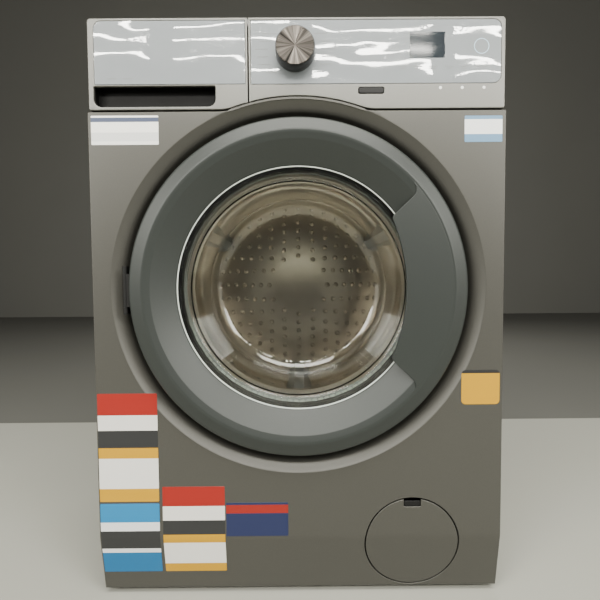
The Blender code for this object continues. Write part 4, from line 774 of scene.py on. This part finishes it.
def door_ring():
    """The door's outer ring: a round edge, a flat, and a funnel down to the glass."""
    shape = bmesh.new()
    face, back = RING_FACE, RING_HIGH.y
    profile = [(RING_RADIUS, back), (RING_RADIUS, face + 0.0085), (RING_RADIUS - 0.0008, face + 0.0064),
               (RING_RADIUS - 0.0026, face + 0.0051), (RING_RADIUS - 0.0055, face + 0.0042),
               (CREST + 0.0020, face + 0.0003), (CREST, face), (CREST - 0.0030, face + 0.0004),
               (CREST - 0.0115, face + 0.0030), (GLASS_RADIUS + 0.0016, depth(-0.0030)),
               (GLASS_RADIUS, depth(-0.0016)), (GLASS_RADIUS, depth(-0.0004)),
               (GLASS_RADIUS + 0.003, depth(-0.0004)), (CREST - 0.0105, face + 0.0060),
               (CREST - 0.0035, face + 0.0040), (RING_RADIUS - 0.006, face + 0.0078),
               (RING_RADIUS - 0.003, face + 0.0098), (RING_RADIUS - 0.003, back)]
    lathe(shape, eased(profile, 0.0008, closed=True, steps=3), AXIS, 192)
    place("door_ring", shape, SLATE, "door", "ring_plastic", ("door_outer_ring",), 40)


def grip_plate():
    """A crescent that runs on from the ring's flat, with a hollow curve at each outer end."""
    half_angle, curve, corner_radius = math.radians(38.9), 0.013, 0.006
    reach = half_angle + curve / BRIM
    outer = arc(AXIS, BRIM, -reach, reach, 44)
    inner_centre, tip_x, tip_rise = (-0.093, AXIS[1]), 0.130, 0.0995
    run = tip_x - inner_centre[0]
    angle = math.atan2(tip_rise, run)
    inner = arc(inner_centre, math.hypot(run, tip_rise), angle, -angle, 32)
    ends = []
    for side, tip in ((1, inner[0]), (-1, inner[-1])):
        start = Vector(arc(AXIS, BRIM - 0.0022, side * reach, side * reach, 1)[0])
        corner = Vector(arc(AXIS, BRIM - 0.0022, side * half_angle, side * half_angle, 1)[0])
        end = corner + (Vector(tip) - corner).normalized() * curve
        ends.append([tuple(point) for point in bezier(start, corner, end, 8)])
    outline = outer + ends[0] + inner + ends[1][::-1]
    first_inner = len(outer) + len(ends[0])
    last_inner = first_inner + len(inner) - 1
    outline = softened(outline, {first_inner: corner_radius, last_inner: corner_radius})
    shape = bmesh.new()
    solid_plate(shape, outline, RING_FACE, RING_FACE + 0.0045, 0.0008)
    place("grip_plate", shape, SLATE, "door", "ring_plastic", ("door_handle",), 50, even=True)


def door_edge_seal_with_painted_shade():
    """A black rubber edge round the ring, in near black: painted shade that draws the gap round the door as
    a thin dark line and hides the hinge in it.
    """
    shape = bmesh.new()
    profile = [(RING_RADIUS - 0.0032, depth(0.0050)), (RING_RADIUS + 0.0012, depth(0.0056)),
               (RING_RADIUS + 0.0016, depth(0.0090)), (RING_RADIUS + 0.0010, depth(0.0125)),
               (RING_RADIUS - 0.0032, depth(0.0130))]
    lathe(shape, profile, AXIS, 144)
    place("door_edge_seal_with_painted_shade", shape, SHADE_BLACK, "door", "black_rubber", sharp=60)


def glass_bowl():
    """The pressed glass: a flange, a bowl that narrows into the drum, and a nearly flat end."""
    path = [(FLANGE, depth(GLASS_HALF)), (BOWL_MOUTH + 0.003, depth(GLASS_HALF)),
            (BOWL_MOUTH, depth(GLASS_HALF + 0.004)), (BOWL_END + 0.018, depth(BOWL_DEPTH - 0.022)),
            (BOWL_END + 0.012, depth(BOWL_DEPTH - 0.010)), (BOWL_END, depth(BOWL_DEPTH - 0.002)),
            (BOWL_END / 2, depth(BOWL_DEPTH + 0.001)), (0.0, depth(BOWL_DEPTH + 0.002))]
    path = eased(path, 0.007, steps=6)
    outline = strip(path, 2 * GLASS_HALF)
    # Turned to start and end on the axis, where the two skins of the glass meet it.
    middle = len(path)
    outline = outline[middle:] + outline[:middle]
    outline[0] = (0.0, outline[0][1])
    outline[-1] = (0.0, outline[-1][1])
    shape = bmesh.new()
    lathe(shape, outline, AXIS, 160)
    place("glass_bowl", shape, GLASS, "door", "door_glass", ("door_glass",), 60)


def glass_edge_highlight():
    """A thin pale rim between the glass and the ring: a painted highlight for the bright edge of the glass.
    """
    shape = bmesh.new()
    profile = [(GLASS_RADIUS - 0.0018, depth(-0.0003)), (GLASS_RADIUS - 0.0016, depth(-0.0011)),
               (GLASS_RADIUS - 0.0008, depth(-0.0015)), (GLASS_RADIUS - 0.0001, depth(-0.0012)),
               (GLASS_RADIUS - 0.0001, depth(-0.0003))]
    lathe(shape, profile, AXIS, 144)
    place("glass_rim_painted_highlight", shape, PALE_HIGHLIGHT_PAINT, "door", "grey_rubber", sharp=60)


def lip_dimples():
    """Small raised pads in two rows round the lower half of the gasket's lip, seen through the glass. They
    are pale, lighter than the grey gasket: a painted highlight for the bright band on the lower lip.
    """
    shape = bmesh.new()
    count, first_angle, span = 46, -162, 144
    half_width, half_length, near, far = 0.0021, 0.0036, depth(0.0226), depth(0.0246)
    for row, radius in enumerate((0.1655, 0.1712)):
        for index in range(count):
            angle = math.radians(first_angle + span * (index + 0.5 * row) / count)
            low = (radius - half_width, near, -half_length)
            made = box(shape, low, (radius + half_width, far, half_length))
            turn = Matrix.Rotation(-angle, 4, "Y")
            for vertex in made:
                vertex.co = turn @ vertex.co + Vector((AXIS[0], 0, AXIS[1]))
    bmesh.ops.bevel(shape, geom=list(shape.edges), offset=0.0006, segments=2, affect="EDGES")
    place("lip_pads", shape, PALE_HIGHLIGHT_PAINT, "root", "grey_rubber", sharp=60)


def gasket():
    """The bellows between the panel and the tub, with a lip and a soft fold."""
    tub_end = 0.1834
    path = [(MOUTH_RADIUS - 0.0020, depth(DISH_DEPTH + 0.010)),
            (MOUTH_RADIUS - 0.0020, depth(DISH_DEPTH + 0.0008)),
            (MOUTH_RADIUS - 0.0090, depth(DISH_DEPTH - 0.0025)),
            (BOWL_MOUTH + 0.0165, depth(DISH_DEPTH - 0.001)),
            (BOWL_MOUTH + 0.0185, depth(DISH_DEPTH + 0.022)),
            (MOUTH_RADIUS - 0.0060, depth(DISH_DEPTH + 0.023)),
            (MOUTH_RADIUS - 0.0040, depth(0.059)), (tub_end, depth(0.062)), (tub_end, depth(0.078))]
    shape = bmesh.new()
    lathe(shape, eased(strip(eased(path, 0.004), 0.003), 0.0008, closed=True, steps=2), AXIS, 144)
    start, end = depth(DISH_DEPTH + 0.004), depth(0.060)
    bend = ("root", "tub", (AXIS[0], start, AXIS[1]), (AXIS[0], end, AXIS[1]))
    place("bellows", shape, GREY_RUBBER, bend, "grey_rubber", ("door_gasket",), 60)


def stretched(node):
    """A hose or a spring, rebuilt from its part in its slot's finish and left where it stands."""
    low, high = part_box(node)
    slot = next(entry["material_slot"] for entry in frame["record"]["subparts"] if entry["node"] == node)
    shape = bmesh.new()
    shape.from_mesh(frame["nodes"][node].data)
    held = 0.004
    bend = ("root", "tub", (low.x, low.y, high.z - held), (low.x, low.y, low.z + held))
    place(node + "_flexing", shape, BY_SLOT[slot], bend, slot, (node,), 40)


def drum():
    """The perforated drum, with a rolled mouth and a dished back."""
    shape = bmesh.new()
    near, far = DRUM_LOW.y, DRUM_HIGH.y
    inner = DRUM_RADIUS - 0.0015
    mouth = 0.172
    first_row, last_row = near + 0.040, far - 0.030
    columns, rows, hole_share = 84, 12, 0.27
    step_y = (last_row - first_row) / rows
    wall = []
    for row in range(rows + 1):
        wall.append(ring(shape, circle(AXIS, inner, columns), first_row + step_y * row))
    for row in range(rows):
        for column in range(columns):
            ahead = (column + 1) % columns
            corners = [wall[row][column], wall[row][ahead], wall[row + 1][ahead], wall[row + 1][column]]
            perforate(shape, corners, hole_share if (column + row) % 2 == 0 else 0)
    front = [(inner, near + 0.006), (inner - 0.004, near + 0.002), (mouth + 0.004, near + 0.001),
             (mouth + 0.001, near + 0.002), (mouth, near + 0.004), (mouth, near + 0.008)]
    bridged(shape, [wall[0], *[ring(shape, circle(AXIS, radius, columns), y) for radius, y in front]])
    back = [(inner, far - 0.008), (inner - 0.004, far - 0.003), (inner - 0.010, far - 0.0015),
            (0.212, far - 0.0015), (0.204, far - 0.0045), (0.060, far - 0.0045), (0.052, far - 0.0020),
            (0.004, far - 0.0020)]
    rings = [wall[-1], *[ring(shape, circle(AXIS, radius, columns), y) for radius, y in back]]
    bridged(shape, rings)
    fill(shape, [rings[-1]])
    piece = place("drum_skin", shape, STAINLESS, "drum", "stainless_steel", ("drum_shell",), 40)
    skin = piece.modifiers.new("skin", "SOLIDIFY")
    skin.thickness = 0.0006
    skin.offset = 0


def drum_domes():
    """Seven rings of small pressed domes on the drum's back."""
    shape = bmesh.new()
    floor = DRUM_HIGH.y - 0.0050
    profile = [(0.0, floor - 0.0030), (0.0022, floor - 0.0027), (0.0044, floor - 0.0014),
               (0.0056, floor + 0.0003), (0.0, floor + 0.0003)]
    for row in range(7):
        number = 12 + 4 * row
        for index in range(number):
            spot = arc(AXIS, 0.070 + 0.020 * row, math.tau * index / number, 1, 1)[0]
            lathe(shape, profile, spot, 12)
    place("drum_back_domes", shape, STAINLESS, "drum", "stainless_steel", sharp=60)


def perforate(shape, corners, share):
    """One cell of the drum's wall, whole or with an eight sided hole."""
    if not share:
        shape.faces.new(corners)
        return
    middle = sum((corner.co for corner in corners), Vector()) / 4
    right = (corners[1].co + corners[2].co - corners[0].co - corners[3].co) / 2
    up = (corners[3].co + corners[2].co - corners[0].co - corners[1].co) / 2
    radius = share * min(right.length, up.length)
    right, up = right.normalized(), up.normalized()
    hole = []
    for index in range(8):
        angle = -math.pi * 3 / 4 + index * math.pi / 4
        hole.append(shape.verts.new(middle + (right * math.cos(angle) + up * math.sin(angle)) * radius))
    for index in range(4):
        following = (index + 1) % 4
        shape.faces.new((corners[index], corners[following], hole[(index * 2 + 2) % 8], hole[index * 2 + 1],
                         hole[index * 2]))


door_ring()
grip_plate()
door_edge_seal_with_painted_shade()
glass_bowl()
glass_edge_highlight()
lip_dimples()
gasket()
for flexible in ("fill_hose", "spring_left", "spring_right"):
    stretched(flexible)
drum()
drum_domes()

# ------------ labels


def label(name, low, high, bands, corner=0.0015):
    """A plain paper label in bands of colour from its foot up, each given as a start and a colour."""
    surface = bpy.data.materials.new(name + "_coated_paper")
    surface.use_nodes = True
    tree = surface.node_tree
    tree.nodes.clear()
    place_of = add(tree, "TexCoord")
    parts = add(tree, "SeparateXYZ", {"Vector": (place_of, "Object")})
    share = add(tree, "MapRange", {"Value": (parts, "Z"), "From Min": 0.0, "From Max": high[1] - low[1]})
    ramp = add(tree, "ValToRGB", {"Fac": (share, 0)})
    ramp.color_ramp.interpolation = "CONSTANT"
    ramp.color_ramp.elements[0].color = linear(bands[0][1])
    ramp.color_ramp.elements[1].position = bands[1][0] if len(bands) > 1 else 1.0
    ramp.color_ramp.elements[1].color = linear(bands[min(1, len(bands) - 1)][1])
    for start, colour in bands[2:]:
        ramp.color_ramp.elements.new(start).color = linear(colour)
    fibres = add(tree, "TexNoise", {"Vector": (place_of, "Object"), "Scale": 900.0})
    raised = add(tree, "Bump", {"Height": (fibres, 0), "Distance": 0.00001, "Strength": 1.0})
    shader = add(tree, "BsdfPrincipled", {"Base Color": (ramp, 0), "Roughness": 0.42, "Normal": (raised, 0),
                                          "Coat Weight": 0.1, "Coat Roughness": 0.3})
    add(tree, "OutputMaterial", {"Surface": (shader, 0)})
    shape = bmesh.new()
    outline = rounded(low, high, (corner,) * 4, 4)
    solid_plate(shape, outline, depth(-0.00025), depth(0.0001), 0.0001, steps=1)
    lean_foot(shape)
    place(name, shape, surface, "root", "white_plastic", sharp=30, origin=(low[0], FRONT, low[1]))


YELLOW, RED, BLUE, NAVY = "#B88A00", "#8E1409", "#005F8F", "#151F45"
WHITE, PALE, BLACK = "#D8D6D0", "#D8DADB", "#232425"
label("label_top_left", (-0.294, 0.673), (-0.198, 0.714),
      [(0, "#E8E7E2"), (0.12, "#D3D4D2"), (0.42, "#EFEEEA"), (0.78, "#34405C"), (0.93, "#EFEEEA")])
label("label_top_right", (0.239, 0.674), (0.293, 0.711),
      [(0, "#5E86A6"), (0.30, "#E9EBEA"), (0.86, "#5E86A6")])
label("label_plain_yellow", (0.238, 0.294), (0.294, 0.345), [(0, YELLOW), (0.9, "#1E1E1E")], 0.006)
label("label_left_tall", (-0.2965, 0.152), (-0.209, 0.314),
      [(0, YELLOW), (0.12, WHITE), (0.40, YELLOW), (0.50, BLACK), (0.66, WHITE), (0.80, RED)])
label("label_left_low", (-0.2965, 0.039), (-0.209, 0.149),
      [(0, BLUE), (0.30, PALE), (0.36, BLACK), (0.62, PALE), (0.74, "#0A74A6")])
label("label_middle_low", (-0.204, 0.039), (-0.112, 0.174),
      [(0, YELLOW), (0.10, WHITE), (0.36, YELLOW), (0.46, BLACK), (0.62, WHITE), (0.78, RED)])
label("label_small_low", (-0.110, 0.098), (-0.018, 0.149), [(0, NAVY), (0.68, "#8A1509"), (0.93, NAVY)])

# ------------ room, light and camera


def plain(name, colours, roughness):
    return finish(name, colours, 0.8, roughness, 0.01, 0.0001)


def room():
    """A pale floor that ends behind the machine, and a dark floor and a dark wall well beyond it."""
    reach, pale_end, wall, sunk = 6.0, 0.55, 5.0, -0.004
    surfaces = (
        ("pale_floor", (-reach, 0), (pale_end, 0),
         plain("pale_floor_paint", ("#9C9C93", "#A3A39A"), (0.55, 0.7))),
        ("dark_floor", (pale_end, sunk), (wall, sunk),
         plain("dark_carpet", ("#5A5A55", "#60605B"), (0.8, 0.9))),
        ("dark_wall", (wall, sunk), (wall, 5),
         plain("dark_wall_paint", ("#6E6E69", "#74746F"), (0.7, 0.8))))
    for name, near, far, surface in surfaces:
        corners = [(-reach, *near), (reach, *near), (reach, *far), (-reach, *far)]
        mesh = bpy.data.meshes.new(name)
        mesh.from_pydata(corners, [], [(0, 1, 2, 3)])
        mesh.materials.append(surface)
        panel = bpy.data.objects.new(name, mesh)
        bpy.context.scene.collection.objects.link(panel)


def lamp(name, place_at, aim, size, power, roll=0):
    light = bpy.data.lights.new(name, "AREA")
    light.shape = "RECTANGLE"
    light.size, light.size_y = size
    light.energy = power
    light.color = linear("#FFFDF4")[:3]
    holder = bpy.data.objects.new(name, light)
    holder.location = place_at
    facing = (Vector(aim) - Vector(place_at)).to_track_quat("-Z", "Y")
    holder.rotation_euler = (facing @ Quaternion((0, 0, 1), math.radians(roll))).to_euler()
    bpy.context.scene.collection.objects.link(holder)


def camera():
    yaw, pitch, roll = math.radians(0.21), math.radians(2.74), math.radians(0.43)
    forward = Vector((math.sin(yaw) * math.cos(pitch), math.cos(yaw) * math.cos(pitch), -math.sin(pitch)))
    level = Vector((math.cos(yaw), -math.sin(yaw), 0))
    down = forward.cross(level)
    right = math.cos(roll) * level + math.sin(roll) * down
    below = -math.sin(roll) * level + math.cos(roll) * down
    turned = Matrix((right, -below, -forward)).transposed().to_4x4()
    turned.translation = Vector((-0.0005, FRONT - 0.6545, 0.4808))
    lens = bpy.data.cameras.new("camera")
    lens.sensor_width = 36
    lens.lens = 27.06
    lens.clip_start = 0.02
    holder = bpy.data.objects.new("camera", lens)
    holder.matrix_world = turned
    bpy.context.scene.collection.objects.link(holder)
    bpy.context.scene.camera = holder


room()
lamp("overhead_front", (0.1, -1.5, 2.7), (0, -0.2, 0.7), (2.4, 1.0), 112)
lamp("front_left", (-2.3, -2.6, 1.6), (0, 0, 0.6), (0.9, 1.1), 58)
lamp("front_right", (2.3, -2.6, 1.6), (0, 0, 0.6), (0.9, 1.1), 58)
for row, height in enumerate((1.66, 1.77, 1.89)):
    for column, middle in enumerate((-1.15, -0.35, 0.42, 1.2)):
        tilt = -2.6 if middle < 0.9 else 2.0
        place_at = (middle, -2.2, height - 0.045 * middle)
        lamp(f"tube_{row}_{column}", place_at, (middle, -0.3, 0.7), (0.66, 0.018), 5.5, tilt)
lamp("fill_left", (-2.2, -1.4, 1.1), (0, 0, 0.5), (1.2, 1.6), 10)
lamp("fill_right", (2.2, -1.4, 1.0), (0, 0, 0.5), (1.2, 1.6), 8)
lamp("behind", (0.6, 3.0, 2.3), (0, 0.3, 0.4), (1.6, 1.0), 45)
world = bpy.data.worlds.new("soft_room")
bpy.context.scene.world = world
world.use_nodes = True
world.node_tree.nodes["Background"].inputs["Color"].default_value = linear("#9A9791")
world.node_tree.nodes["Background"].inputs["Strength"].default_value = 0.35
camera()
